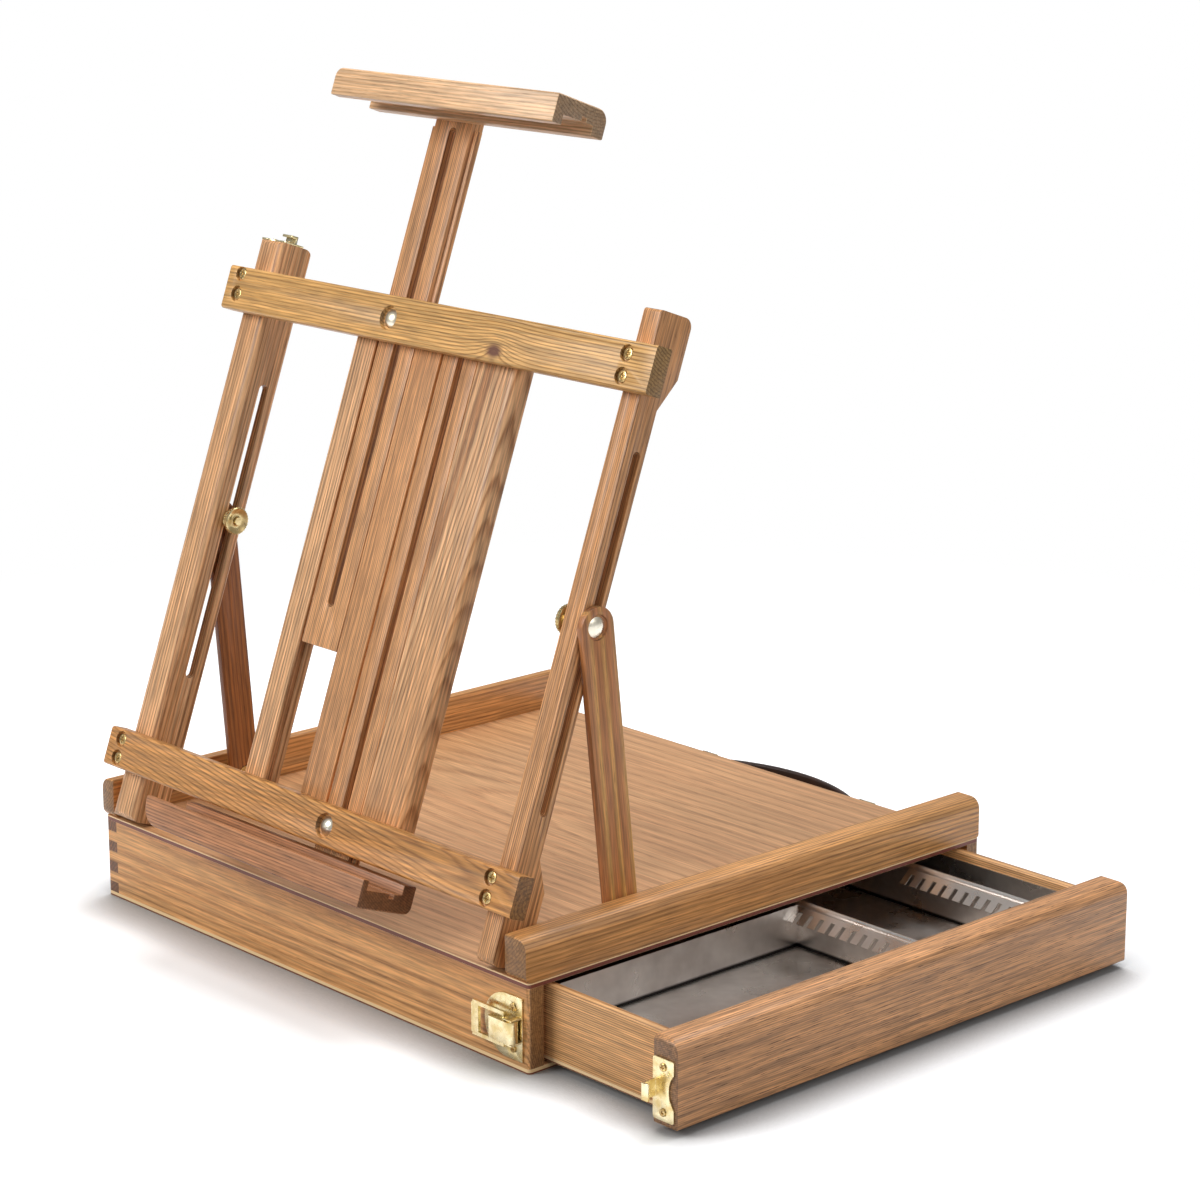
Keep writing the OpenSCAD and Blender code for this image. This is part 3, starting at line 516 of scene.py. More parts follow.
@dataclass(frozen=True)
class Metal:
    """A bare or plated metal.

    Attributes:
        name: the material's name.
        colour: its colour.
        tint: the colour of its clouded patches.
        rough: its roughness.
        cloud: size of the clouded patches, in millimetres.
        scratch: size of the fine scratches, in millimetres.
        relief: depth of its unevenness, in millimetres.
        seam: height of the fold between the tray's floor and walls, just above which the walls get painted
            shade for the dark crease, in metres, or None.
    """

    name: str
    colour: str
    tint: str
    rough: float
    cloud: float
    scratch: float
    relief: float
    seam: float | None = None

    def make(self) -> Material:
        """Builds the material.

        Returns:
            The new material.
        """
        material, put = new_material(self.name)
        coords = put("TexCoord").outputs
        at = coords["Object"]
        cloud = put(NOISE, {"Vector": at, "Scale": 1 / (self.cloud * MM), "Detail": 3.0})
        fine = put(NOISE, {"Vector": at, "Scale": 1 / (self.scratch * MM), "Detail": 2.0})
        patch = put(RANGE, (cloud, 0.35, 0.65))
        colour = put(MIX, (patch, linear(self.colour), linear(self.tint)), **COLOUR)
        if self.seam is not None:
            # Painted shade: the walls go nearly black up to 1.6 mm above the seam and regain full colour by 3
            # mm, standing in for the shadow in the crease; flat faces keep their colour.
            tall = put(SPLIT, (at,)).outputs[2]
            unshaded = put(RANGE, (tall, self.seam + 1.6 * MM, self.seam + 3.0 * MM, 0.04, 1.0))
            flat = put(MATH, (put(SPLIT, (coords["Normal"],)).outputs[2],), "ABSOLUTE")
            lit = put(MATH, (unshaded, flat), "MAXIMUM", use_clamp=True)
            colour = put(VECTOR, (colour, lit), "SCALE")
        rough = put(RANGE, (cloud, 0.3, 0.7, self.rough * 0.7, self.rough * 1.5))
        height = put(MATH, (cloud, 3.0, fine), "MULTIPLY_ADD")
        bump = put("Bump", {"Height": height, "Strength": 0.35, "Distance": self.relief * MM})
        skin = put("BsdfPrincipled",
                   {"Base Color": colour, "Metallic": 1.0, "Roughness": rough, "Normal": bump})
        put("OutputMaterial", {"Surface": skin})
        return material


@dataclass(frozen=True)
class Leather:
    """Smooth hide, or the thread that sews it.

    Attributes:
        name: the material's name.
        colour: its colour.
        worn: its colour where it is rubbed.
        pebble: size of its grain, in millimetres.
        rub: size of the rubbed patches, in millimetres.
    """

    name: str
    colour: str
    worn: str
    pebble: float
    rub: float = 16.667

    def make(self) -> Material:
        """Builds the material.

        Returns:
            The new material.
        """
        material, put = new_material(self.name)
        at = put("TexCoord").outputs["Object"]
        cells = put("TexVoronoi", {"Vector": at, "Scale": 1 / (self.pebble * MM)},
                    feature="DISTANCE_TO_EDGE")
        wear = put(NOISE, {"Vector": at, "Scale": 1 / (self.rub * MM), "Detail": 4.0})
        patch = put(RANGE, (wear, 0.5, 0.75))
        colour = put(MIX, (patch, linear(self.colour), linear(self.worn)), **COLOUR)
        bump = put("Bump",
                   {"Height": cells.outputs["Distance"], "Strength": 0.4, "Distance": 0.1 * MM})
        skin = put("BsdfPrincipled", {"Base Color": colour, "Roughness": 0.48, "Normal": bump})
        put("OutputMaterial", {"Surface": skin})
        return material


# Pressed brass with a bright dip: pale gold with soft, clouded highlights
BRASS = Metal("plated_brass", "#f2e6bf", "#d9c288", 0.24, 7.0, 0.5, 0.03)
# Turned solid brass: a deeper gold, with fine marks of the lathe tool
GOLD_BRASS = Metal("turned_brass", "#e2cf9e", "#bfa673", 0.24, 6.0, 0.4, 0.02)
# Nickel plate on steel, tumbled: a warm silver with a soft shine
NICKEL = Metal("nickelled_steel", "#efe8d8", "#dbd2bc", 0.3, 12.0, 0.5, 0.01)
# Thin brass plate on steel: duller and browner than brass, darker in patches
SCREW = Metal("brassed_steel", "#d8bd88", "#a88a58", 0.3, 2.0, 0.4, 0.02)
# Hot-dipped tin on rolled sheet: grey, with broad clouds and shallow dents
TIN = Metal("bright_tinplate", "#f0ebe6", "#c6bfba", 0.3, 30.0, 1.2, 0.12)
# Dyed and waxed cowhide: near black, with a fine pebble and browner where a hand rubs it
STRAP = Leather("bridle_leather", "#2d1a12", "#4a2c1e", 0.9)
# Waxed linen thread: a mid brown that stands out from the hide
THREAD = Leather("waxed_thread", "#6b4a33", "#7d5a40", 0.3)

# Quarter-sawn: fine, straight, close lines
STRAIGHT = Timber("#dea76d", "#8a5426", "#c98d51", 1.4, 1.0, (140.0, 25.0), 0.7, 0.3)
# Yellow heartwood with clear brown rings
AMBER = Timber("#deae6b", "#9c6829", "#cf9a55", 1.9, 5.0, (26.0, 30.0), 0.85, 0.3)
# The palest board, with soft rings
CLAMP = Timber("#e9c298", "#b07c4a", "#dbab7c", 1.9, 4.0, (26.0, 40.0), 0.65, 0.3)
# Light and lively, with strong fibres
TAN = Timber("#e3b384", "#955a2a", "#c68c58", 1.9, 3.5, (36.0, 50.0), 0.75, 0.4, 0.0, 1.25)
# Pinkish, close-ringed and porous
ROSY = Timber("#d8a06c", "#85502a", "#bd8350", 1.3, 2.5, (40.0, 80.0), 0.65, 0.5, 0.0, 1.2)
# Plain mid brown
BROWN = Timber("#d8a062", "#875228", "#bc8046", 1.8, 5.0, (30.0, 30.0), 0.7, 0.3)
# Plain-sawn close to the pith, so that the rings draw arches
ARCHED = Timber("#d49a58", "#82501f", "#b97c40", 2.6, 7.0, (4.0, 26.0), 0.75, 0.3, 0.16, 1.2)
# Tangential, with short dark flecks instead of lines
FLECKED = Timber("#d39c6c", "#84552f", "#bb8555", 1.1, 2.0, (70.0, 160.0), 0.55, 0.9, 0.0, 1.3)
# Reddish heartwood
REDDISH = Timber("#b98056", "#724427", "#a36b42", 1.4, 2.0, (70.0, 60.0), 0.65, 0.5)
# Brown with broad yellow bands
STREAKED = Timber("#b97a48", "#e8b567", "#a0643b", 8.5, 2.5, (60.0, 14.0), 0.8, 0.3)
# The darkest heartwood
DARK = Timber("#ad6d39", "#6c4120", "#945a2f", 2.4, 3.0, (60.0, 50.0), 0.75, 0.3)
# Pale drawer stock, the closest lines of all
SIDE = Timber("#e3b078", "#8a552a", "#cd9359", 1.25, 1.2, (20.0, 90.0), 0.85, 0.3)
# Rotary-cut face veneer, with broad, faint arches
VENEER = Timber("#d3a273", "#aa7850", "#c48f63", 10.0, 18.0, (20.0, 16.0), 0.55, 0.25, 0.16, 0.6)
# Pale, nearly plain veneer
PALE_VENEER = Timber("#dfb98f", "#c1946a", "#d3a67c", 5.0, 20.0, (50.0, 20.0), 0.4, 0.2)


# Assemblies

def dress(node: str, material: Material, ease: float = 0.0) -> None:
    """Gives a CAD node its finish, and eases its edges on a piece that stands for it.

    Args:
        node: the CAD node.
        material: its finish.
        ease: width of the eased edges, in millimetres, or 0 to keep the node itself.
    """
    if ease <= 0:
        slots = frame["nodes"][node].data.materials
        slots.clear()
        slots.append(material)
        LOG.info("node  %s keeps its shape", node)
        return
    shape = clean_copy(node)
    bmesh.ops.dissolve_limit(shape, angle_limit=math.radians(0.4), verts=shape.verts, edges=shape.edges)
    mesh = applied(to_mesh(shape, node), "BEVEL", width=ease * MM, segments=2, limit_method="ANGLE",
                   angle_limit=math.radians(28))
    make_piece(f"{node}_eased", mesh, material, node)


@dataclass
class Board:
    """One piece of wood from the frame.

    Attributes:
        node: the CAD node.
        timber: its cut of wood.
        grain: which way its grain runs, or the turn that lays it along local X.
        ease: width of the eased edges, in millimetres, or 0 to keep the CAD node.
    """

    node: str
    timber: Timber
    grain: Grain | Triple
    ease: float = 0.0

    def build(self, yard: TimberYard) -> None:
        """Makes the board from a material cut in the yard."""
        turn = self.grain.value if isinstance(self.grain, Grain) else self.grain
        dress(self.node, yard.cut(self.node, self.timber, turn), self.ease)


@dataclass
class Assembly:
    """Pieces that are made together, with the finish of each metal by its name."""

    metal: dict[str, Material]


@dataclass
class Case(Assembly):
    """The drawer's case with its rails, veneered panels and carrying strap."""

    boards: list[Board] = field(default_factory=lambda: [
        Board("front_wall", STRAIGHT, Grain.ALONG_X),
        Board("back_wall", STRAIGHT, Grain.ALONG_X),
        Board("left_wall", DARK, Grain.ALONG_Y),
        Board("drawer_runners", STRAIGHT, Grain.ALONG_X),
        Board("rail_left", BROWN, Grain.ALONG_Y, 0.6),
        Board("rail_right", BROWN, Grain.ALONG_Y, 0.6),
    ])
    plate_ease: float = 0.3
    top_core: tuple[float, float] = (0.0, 0.74)
    bottom_core: tuple[float, float] = (0.01, 0.3)

    def build(self, yard: TimberYard) -> None:
        """Makes the case.

        Args:
            yard: where the materials are cut.
        """
        for board in self.boards:
            board.build(yard)
        dress("top_panel", yard.cut_ply("top_panel", VENEER, self.top_core))
        dress("bottom_panel", yard.cut_ply("bottom_panel", VENEER, self.bottom_core))
        dress("frame_pivot_bolts", self.metal["gold"])
        dress("stay_pivot_bolts", self.metal["gold"])
        dress("handle_plates", self.metal["brass"], self.plate_ease)
        CarryingStrap().build()


def build_stitch_group() -> Tree:
    """Builds the geometry group that sets stitches along a line of edges.

    Returns:
        The group.
    """
    inputs = {"Geometry": "Line", "Float": "Pitch, Length, Radius", "Material": "Thread"}
    tree, put, given = new_group("Stitches", "Geometry", inputs, {"Geometry": "Stitches"})
    line = put("MeshToCurve", {0: given["Line"]})
    points = put("CurveToPoints", {"Curve": line, "Length": given["Pitch"]}, mode="LENGTH").outputs
    stitch = put("MeshCylinder",
                 {"Vertices": 8, "Radius": given["Radius"], "Depth": given["Length"]})
    sewn = put("InstanceOnPoints",
               {"Points": points["Points"], "Instance": stitch, "Rotation": points["Rotation"]})
    real = put("RealizeInstances", {0: sewn})
    thread = put("SetMaterial", {"Geometry": real, "Material": given["Thread"]})
    put("NodeGroupOutput", (thread,))
    return tree


@dataclass
class CarryingStrap:
    """The bowed leather strap on the back wall, with its edge stitches. Sizes are in metres."""

    node: str = "handle_strap"
    thick: float = 4.0 * MM
    tail: float = 19.0 * MM
    soft: float = 1.3 * MM
    stitch_in: float = 3.0 * MM
    stitch_pitch: float = 4.2 * MM
    stitch_length: float = 2.8 * MM
    stitch_radius: float = 0.35 * MM

    def path(self) -> list[Vector]:
        """Works out the strap's middle line in plan.

        Returns:
            Its points, from one tail's end to the other's.
        """
        low, high = (Vector(c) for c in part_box(self.node))
        half = (high.x - low.x) / 2 - self.tail
        bow = high.y - low.y - self.thick
        ball = (half * half + bow * bow) / (2 * bow)
        middle = Vector(((low.x + high.x) / 2, low.y + bow + self.thick / 2 - ball, (low.z + high.z) / 2))
        reach = math.acos((ball - bow) / ball)
        arc = []
        for i in range(49):
            turn = reach * (1 - i / 24)
            arc.append(middle + Vector((-math.sin(turn) * ball, math.cos(turn) * ball, 0)))
        first, last = (Vector((x, low.y + self.thick / 2, middle.z)) for x in (low.x, high.x))
        return [first, first.lerp(arc[0], 0.5)] + arc + [last.lerp(arc[-1], 0.5), last]

    def section(self, height: float) -> list[tuple[float, float]]:
        """Works out the strap's rounded cross-section.

        Args:
            height: the strap's full height.
        Returns:
            Its points, as outward and upward distances.
        """
        points = []
        for quarter, (out, up) in enumerate(((1, 1), (-1, 1), (-1, -1), (1, -1))):
            for step in range(5):
                turn = math.pi / 2 * (quarter + step / 4)
                points.append((out * (self.thick / 2 - self.soft) + self.soft * math.cos(turn),
                               up * (height / 2 - self.soft) + self.soft * math.sin(turn)))
        return points

    def build(self) -> None:
        """Makes the strap and its stitches."""
        low, high = (Vector(c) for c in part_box(self.node))
        path = self.path()
        section = self.section(high.z - low.z)
        shape = bmesh.new()
        rings = []
        outs = []
        for i, point in enumerate(path):
            ahead = (path[min(i + 1, len(path) - 1)] - path[max(i - 1, 0)]).normalized()
            out = Vector((-ahead.y, ahead.x, 0))
            outs.append(out)
            rings.append([shape.verts.new(point + out * a + Vector((0, 0, b))) for a, b in section])
        count = len(section)
        for first, second in zip(rings, rings[1:]):
            for i in range(count):
                shape.faces.new([first[i], first[(i + 1) % count], second[(i + 1) % count], second[i]])
        shape.faces.new(rings[0])
        shape.faces.new(list(reversed(rings[-1])))
        bmesh.ops.recalc_face_normals(shape, faces=shape.faces)
        for vert in shape.verts:
            vert.co.x = min(max(vert.co.x, low.x), high.x)
            vert.co.y = min(max(vert.co.y, low.y), high.y)
        make_piece("carrying_strap", to_mesh(shape, "strap"), STRAP.make(), self.node)
        self.stitch(path, outs, high.z - low.z)

    def stitch(self, path: list[Vector], outs: list[Vector], height: float) -> None:
        """Sews both edges of the strap's outer face.

        Args:
            path: the strap's middle line.
            outs: the outward direction at each point.
            height: the strap's full height.
        """
        line = bmesh.new()
        for side in (-1, 1):
            up = Vector((0, 0, side * (height / 2 - self.stitch_in)))
            row = [line.verts.new(point + out * (self.thick / 2 - 0.3 * MM) + up)
                   for point, out in list(zip(path, outs))[4:-4]]
            for pair in zip(row, row[1:]):
                line.edges.new(pair)
        thread = THREAD.make()
        values = {"Pitch": self.stitch_pitch, "Length": self.stitch_length,
                  "Radius": self.stitch_radius, "Thread": thread}
        mesh = applied(to_mesh(line, "seam"), "NODES", values, node_group=build_stitch_group())
        make_piece("strap_stitches", mesh, thread, self.node, stands_for_it=False)


@dataclass
class Drawer(Assembly):
    """The drawer with its tinned tray, dividers and brush combs."""

    boards: list[Board] = field(default_factory=lambda: [
        Board("drawer_front", FLECKED, Grain.ALONG_Y, 0.6),
        Board("drawer_side_near", SIDE, Grain.ALONG_X, 0.4),
        Board("drawer_side_far", SIDE, Grain.ALONG_X, 0.4),
        Board("drawer_back", SIDE, Grain.ALONG_Y, 0.4),
        Board("tray_bearers", SIDE, Grain.ALONG_X),
    ])
    bottom_core: tuple[float, float] = (0.01, 0.25)

    def build(self, yard: TimberYard) -> None:
        """Makes the drawer.

        Args:
            yard: where the materials are cut.
        """
        for board in self.boards:
            board.build(yard)
        dress("drawer_bottom", yard.cut_ply("drawer_bottom", PALE_VENEER, self.bottom_core))
        for node in ("paint_tray", "tray_dividers", "brush_comb_near", "brush_comb_far"):
            dress(node, self.metal["tin"])


@dataclass
class Mast(Assembly):
    """The tilting frame: posts, crossbars, fixed strips and sliding slats."""

    boards: list[Board] = field(default_factory=lambda: [
        Board("post_left", TAN, Grain.ALONG_MAST, 0.6),
        Board("post_right", ROSY, Grain.ALONG_MAST, 0.6),
        Board("crossbar_upper", replace(AMBER, knot=(66.0, -4.5, 7.0)), Grain.ALONG_X, 0.5),
        Board("crossbar_lower", ARCHED, Grain.ALONG_X, 0.5),
        Board("strip_left", TAN, Grain.ALONG_MAST, 0.4),
        Board("strip_centre", ROSY, Grain.ALONG_MAST, 0.4),
        Board("strip_right", replace(TAN, ring=2.3, warp=7.0, pith=(6.0, 18.0), slope=0.09),
              Grain.ALONG_MAST, 0.4),
        Board("slat_upper", ROSY, Grain.ALONG_MAST, 0.4),
        Board("slat_lower", ROSY, Grain.ALONG_MAST, 0.4),
        Board("top_clamp", CLAMP, Grain.ALONG_X, 0.5),
        Board("canvas_ledge", REDDISH, Grain.ALONG_X, 0.5),
    ])

    def build(self, yard: TimberYard) -> None:
        """Makes the tilting frame.

        Args:
            yard: where the materials are cut.
        """
        for board in self.boards:
            board.build(yard)
        dress("carriage_bolts", self.metal["nickel"])


@dataclass
class Stays(Assembly):
    """The two folding stays with their bolts."""

    ease: float = 0.4

    def build(self, yard: TimberYard) -> None:
        """Makes the stays.

        Args:
            yard: where the materials are cut.
        """
        for side, timber in (("left", DARK), ("right", STREAKED)):
            foot, head = (Vector(JOINTS[f"{side}_{name}"]["pos_m"]) for name in ("stay_fold", "knob_spin"))
            grain = (math.atan2(head.y - foot.y, head.z - foot.z), math.pi / 2, 0.0)
            Board(f"stay_{side}", timber, grain, self.ease).build(yard)
        for side in ("left", "right"):
            dress(f"stay_bolt_head_{side}", self.metal["nickel"])
            dress(f"clamp_bolt_{side}", self.metal["gold"])


def build_knurl_group() -> Tree:
    """Builds the geometry group that sets ridges round a knob's rim.

    Returns:
        The group.
    """
    inputs = {"Geometry": "Base", "Int": "Count", "Float": "Reach, Radius, Height", "Vector": "Lift",
              "Material": "Metal"}
    tree, put, given = new_group("Knurls", "Geometry", inputs, {"Geometry": "Knurled"})
    rim = put("MeshCircle", {"Vertices": given["Count"], "Radius": given["Reach"]})
    ridge = put("MeshCylinder",
                {"Vertices": 8, "Radius": given["Radius"], "Depth": given["Height"]})
    ridges = put("InstanceOnPoints", {"Points": rim, "Instance": ridge})
    lifted = put("Transform", {"Geometry": ridges, "Translation": given["Lift"]})
    both = put("JoinGeometry", {0: put("RealizeInstances", {0: lifted})})
    tree.links.new(given["Base"], both.inputs[0])
    finish = put("SetMaterial", {"Geometry": both, "Material": given["Metal"]})
    put("NodeGroupOutput", (finish,))
    return tree


@dataclass
class ThumbKnobs(Assembly):
    """The four turned knobs, each with a flange, a waist and a dished, knurled disc.

    Attributes:
        knurls: ridges round the rim.
        ridge: radius of a ridge, in metres.
        ridge_height: its height, in metres.
        bore: radius of the hole for the shank, in metres.
        foot: radius and height above the seat of the flange and waist, in millimetres.
        neck: radius and depth below the rim's face of the disc's underside, in millimetres.
        dish: radius and depth below the rim's face of the disc's hollow, in millimetres.
    """

    knurls: int = 28
    ridge: float = 0.45 * MM
    ridge_height: float = 1.7 * MM
    bore: float = 2.55 * MM
    foot: tuple = ((6.1, 0.0), (6.5, 0.4), (6.4, 1.2), (5.4, 1.9), (4.6, 2.8))
    neck: tuple = ((4.9, 4.2), (6.8, 3.3))
    dish: tuple = ((5.5, 1.0), (3.4, 1.2))

    def profile(self, radius: float, length: float) -> list[tuple[float, float]]:
        """Works out a knob's outline.

        Args:
            radius: of the disc.
            length: of the whole knob.
        Returns:
            Radius and height of each point, from the bore and back to it.
        """
        rim = radius - 0.35 * MM
        disc = [(rim - 0.5 * MM, 2.9), (rim, 2.4), (rim, 0.5), (rim - 0.5 * MM, 0.0), (rim - 1.3 * MM, 0.2)]
        low = [(r * MM, h * MM) for r, h in self.foot]
        high = [(r * MM, down) for r, down in self.neck] + disc + [(r * MM, down) for r, down in self.dish]
        high += [(self.bore + 0.3 * MM, 1.0), (self.bore, 1.3)]
        return [(self.bore, 0.0)] + low + [(r, length - down * MM) for r, down in high] + [(self.bore, 0.0)]

    def build(self) -> None:
        """Makes the knobs."""
        low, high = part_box("clamp_knob_left")
        radius = (high[2] - low[2]) / 2
        length = high[0] - low[0]
        group = build_knurl_group()
        values = {"Count": self.knurls, "Reach": radius - self.ridge, "Radius": self.ridge,
                  "Height": self.ridge_height, "Lift": (0.0, 0.0, length - 1.45 * MM),
                  "Metal": self.metal["gold"]}
        for node, joint, way in (("clamp_knob_left", "left_knob_spin", (1, 0, 0)),
                                 ("clamp_knob_right", "right_knob_spin", (-1, 0, 0)),
                                 ("mast_knob_upper", "upper_mast_knob_spin", None),
                                 ("mast_knob_lower", "lower_mast_knob_spin", None)):
            axis = Vector(way or JOINTS[joint]["axis"])
            pos = Vector(JOINTS[joint]["pos_m"])
            seat = min((vert.co - pos).dot(axis) for vert in frame["nodes"][node].data.vertices)
            knob = to_mesh(lathe(self.profile(radius, length), 56), node)
            mesh = applied(knob, "NODES", values, node_group=group)
            mesh.transform(basis(axis, pos + axis * seat))
            make_piece(f"{node}_turned", mesh, self.metal["gold"], node)


def build_screw_group() -> Tree:
    """Builds the geometry group that drives one screw at every point.

    Returns:
        The group.
    """
    inputs = {"Geometry": "Places", "Object": "Screw", "Vector": "Turn", "Material": "Metal"}
    tree, put, given = new_group("Screws", "Geometry", inputs, {"Geometry": "Screws"})
    screw = put("ObjectInfo", {"Object": given["Screw"]}, transform_space="ORIGINAL")
    driven = put("InstanceOnPoints", {"Points": given["Places"], "Rotation": given["Turn"],
                                      "Instance": screw.outputs["Geometry"]})
    real = put("RealizeInstances", {0: driven})
    finish = put("SetMaterial", {"Geometry": real, "Material": given["Metal"]})
    put("NodeGroupOutput", (finish,))
    return tree


@dataclass
class CrossScrews(Assembly):
    """Screws with low domed heads and cross recesses, one for each of the frame's screws.

    Attributes:
        snug: the head's size, as a share of the CAD head's.
        head: the head's height, as a share of its width.
        shank: radius of the shank, as a share of the head's.
        recess: width, reach and depth of the cross, as shares of the head's radius and height.
    """

    snug: float = 0.88
    head: float = 0.16
    shank: float = 0.42
    recess: Triple = (0.19, 0.66, 0.9)

    def screw(self, radius: float, height: float, length: float) -> Mesh:
        """Makes one screw, its head's bearing face at the origin and its top along local Z.

        Args:
            radius: of the head.
            height: of the head.
            length: of the shank.
        Returns:
            The screw's mesh.
        """
        rows, shank = 16, radius * self.shank
        profile = [(0.0, -length), (shank, -length), (shank, 0.0), (radius, 0.0)]
        for i in range(rows + 1):
            part = 1 - i / rows
            profile.append((radius * part, height * (0.6 + 0.4 * math.sqrt(1 - part * part))))
        shape = lathe(profile, 64)
        arm, reach, depth = radius * self.recess[0], radius * self.recess[1], height * self.recess[2]
        for vert in shape.verts:
            if vert.co.z < height * 0.61:
                continue
            x, y = abs(vert.co.x), abs(vert.co.y)
            inside = min(max(arm - min(x, y), 0.0) / (arm * 0.5), 1.0)
            inside *= min(max(reach - max(x, y), 0.0) / (reach * 0.3), 1.0)
            vert.co.z -= depth * inside
        return to_mesh(shape, "screw")

    def build(self) -> None:
        """Makes every screw, node by node, square with the mast or with the case."""
        group = build_screw_group()
        mast, case = Matrix.Rotation(LEAN, 4, "X"), Matrix.Identity(4)
        for node, turn, out in (("crossbar_screws", mast, (0, -1, 0)),
                                ("drawer_latch_screws", case, (0, -1, 0)),
                                ("drawer_keeper_screws", case, (0, -1, 0)),
                                ("frame_latch_screws", case, (0, 1, 0)),
                                ("frame_keeper_screws", mast, (0, 0, 1))):
            self.set_screws(group, node, turn, Vector(out))

    def set_screws(self, group: Tree, node: str, turn: Matrix, out: Vector) -> None:
        """Stands a cross-headed screw where each of a node's solids is.

        Args:
            group: the group that sets the screws.
            node: the CAD node.
            turn: from the world's axes to the ones that the screws are square in.
            out: where the heads point, in those axes.
        """
        back = turn.inverted()
        along = [abs(part) for part in out]
        places = bmesh.new()
        for low, high in islands(node, turn):
            size = high - low
            wide = max(size[i] for i in range(3) if along[i] < 0.5)
            long = sum(size[i] * along[i] for i in range(3))
            height = wide * self.head
            places.verts.new(back @ ((low + high) / 2 + out * (long / 2 - height)))
        screw = bpy.data.objects.new("screw", self.screw(wide / 2 * self.snug, height, long - height))
        facing = (back.to_3x3() @ basis(out, Vector()).to_3x3()).to_euler()
        values = {"Screw": screw, "Turn": tuple(facing), "Metal": self.metal["screw"]}
        mesh = applied(to_mesh(places, node), "NODES", values, node_group=group)
        bpy.data.objects.remove(screw)
        make_piece(f"{node}_crossed", mesh, self.metal["screw"], node)


@dataclass
class Latches(Assembly):
    """The two draw latches and their keepers, with how far each part's edges are eased in millimetres."""

    eases: tuple = (("latch_plate", 0.2), ("latch_lever", 0.5), ("keeper", 0.25), ("latch_loop", 0.0))

    def build(self) -> None:
        """Gives the latches their finish and softened edges."""
        for place in ("drawer", "frame"):
            for part, ease in self.eases:
                dress(f"{place}_{part}", self.metal["brass"], ease)


# Stage

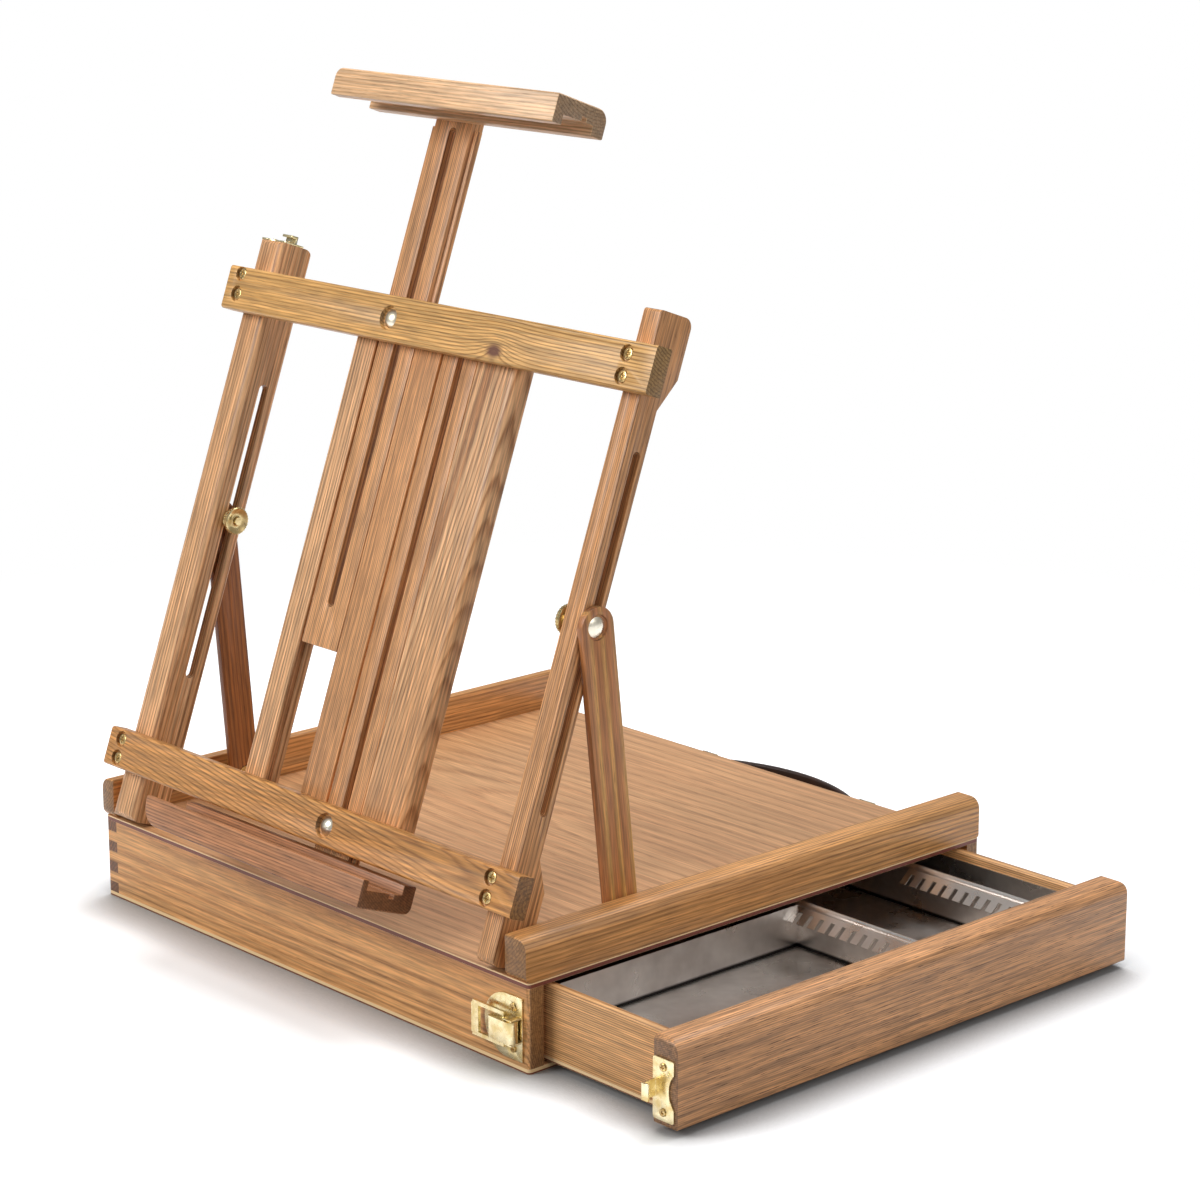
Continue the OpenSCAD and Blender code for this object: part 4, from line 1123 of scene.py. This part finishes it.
@dataclass
class Studio:
    """The pale floor, soft lights and camera. Distances are in metres.

    Attributes:
        floor_half: half the side of the floor.
        paper: the floor's white as the camera sees it. It is a little over 1, so that it stays
            white in soft light, and a little blue, against the timber's warm reflection.
        shade: how dark the floor is close under the object.
        shade_reach: how far that darkness reaches.
        clear: distances from the middle between which the floor fades to plain white.
        lights: each light's name, place, size of its side, power in watts and colour.
        heart: the place that the lights are turned to.
        lens: the camera's focal length in millimetres, for a sensor 36 mm wide.
        stand: where the camera stands.
        aim: how far it tips down and turns left from looking along +Y, in degrees.
    """

    floor_half: float = 6.0
    paper: Vector = field(default_factory=lambda: Vector((1.23, 1.25, 1.28)))
    shade: float = 0.25
    shade_reach: float = 0.055
    clear: tuple[float, float] = (0.45, 1.0)
    lights: tuple = (("key", (-0.9, -2.6, 1.9), 1.3, 62.0, (1.0, 0.985, 0.96)),
                     ("top", (0.0, 0.7, 2.6), 1.6, 38.0, (1.0, 1.0, 1.0)),
                     ("side", (2.6, 0.2, 1.6), 1.6, 19.0, (1.0, 0.98, 0.95)))
    heart: Vector = field(default_factory=lambda: Vector((0.05, 0.0, 0.15)))
    lens: float = 99.83
    stand: Triple = (1.50679, -1.33426, 0.72626)
    aim: tuple[float, float] = (14.602, 47.352)

    def build(self) -> None:
        """Sets up the studio."""
        bpy.context.scene.view_settings.view_transform = "Standard"
        self.add_floor()
        self.add_world()
        self.add_lights()
        self.add_camera()

    def add_floor(self) -> None:
        """Lays the floor, which the camera sees as white paper that fades into a white sweep."""
        shape = bmesh.new()
        bmesh.ops.create_grid(shape, x_segments=2, y_segments=2, size=self.floor_half)
        floor = bpy.data.objects.new("floor", to_mesh(shape, "floor"))
        floor.location.z = -0.2 * MM
        bpy.context.scene.collection.objects.link(floor)
        material, put = new_material("white_paper_sweep")
        rays = put("LightPath").outputs
        seen = rays["Is Camera Ray"]
        shown = put(MATH, (seen, rays["Is Glossy Ray"]), "MAXIMUM")
        at = put("TexCoord").outputs["Object"]
        tooth = put(NOISE, {"Vector": at, "Scale": 1 / (1.111 * MM), "Detail": 2.0})
        bump = put("Bump", {"Height": tooth, "Strength": 0.02})
        near = put("AmbientOcclusion", {"Distance": self.shade_reach}, samples=8)
        shade = put(RANGE, (near.outputs["AO"], 0.45, 0.95, self.shade, 1.0))
        bright = put(VECTOR, (self.paper, shade), "SCALE")
        paper = put(MIX, (shown, grey(0.3), bright), **COLOUR)
        skin = put("BsdfDiffuse", {"Color": paper, "Normal": bump})
        glow = put("Emission", {"Color": grey(1.0), "Strength": 1.0})
        away = put(VECTOR, (at,), "LENGTH")
        share = put(MATH, (put(RANGE, (away, *self.clear), **SMOOTH), seen), "MULTIPLY")
        both = put("MixShader", {0: share, 1: skin, 2: glow})
        put("OutputMaterial", {"Surface": both})
        floor.data.materials.append(material)

    def add_world(self) -> None:
        """Surrounds the set with a dim room, brightest a little above the horizon for the metal to mirror."""
        world = bpy.data.worlds.new("studio")
        bpy.context.scene.world = world
        world.use_nodes = True
        world.node_tree.nodes.clear()
        put = partial(add_node, world.node_tree)
        seen = put("LightPath").outputs["Is Camera Ray"]
        up = put(SPLIT, (put("TexCoord").outputs["Generated"],)).outputs[2]
        room = put("ValToRGB", (up,))
        stops = room.color_ramp.elements
        stops[0].color, stops[1].color = grey(0.05), grey(0.5)
        for place, brightness in ((0.1, 0.5), (0.35, 0.62), (0.7, 0.3)):
            stops.new(place).color = grey(brightness)
        dim = put("Background", {"Color": room, "Strength": 0.75})
        white = put("Background", {"Color": grey(1.0), "Strength": 1.0})
        both = put("MixShader", {0: seen, 1: dim, 2: white})
        put("OutputWorld", {"Surface": both})

    def add_lights(self) -> None:
        """Hangs the square softboxes, all turned towards the easel."""
        for name, place, size, power, colour in self.lights:
            light = bpy.data.lights.new(name, "AREA")
            light.size, light.energy, light.color = size, power, colour
            lamp = bpy.data.objects.new(name, light)
            lamp.location = place
            lamp.rotation_euler = (self.heart - lamp.location).to_track_quat("-Z", "Y").to_euler()
            bpy.context.scene.collection.objects.link(lamp)

    def add_camera(self) -> None:
        """Stands the camera to the right of the painter, a little above the easel."""
        lens = bpy.data.cameras.new("camera")
        lens.sensor_width = 36.0
        lens.lens = self.lens
        camera = bpy.data.objects.new("camera", lens)
        camera.location = self.stand
        camera.rotation_euler = (math.radians(90 - self.aim[0]), 0.0, math.radians(self.aim[1]))
        bpy.context.scene.collection.objects.link(camera)
        bpy.context.scene.camera = camera


def main() -> None:
    """Builds every assembly."""
    # The tin's painted crease shade starts just above the tray's lowest point.
    tin = replace(TIN, seam=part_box("paint_tray")[0][2] + 0.5 * MM)
    finishes = {"brass": BRASS, "gold": GOLD_BRASS, "nickel": NICKEL, "tin": tin, "screw": SCREW}
    metal = {name: finish.make() for name, finish in finishes.items()}
    yard = TimberYard()
    for assembly in (Case, Drawer, Mast, Stays):
        assembly(metal).build(yard)
    for fitting in (ThumbKnobs, CrossScrews, Latches):
        fitting(metal).build()
    Studio().build()


if __name__ == "__main__":
    main()
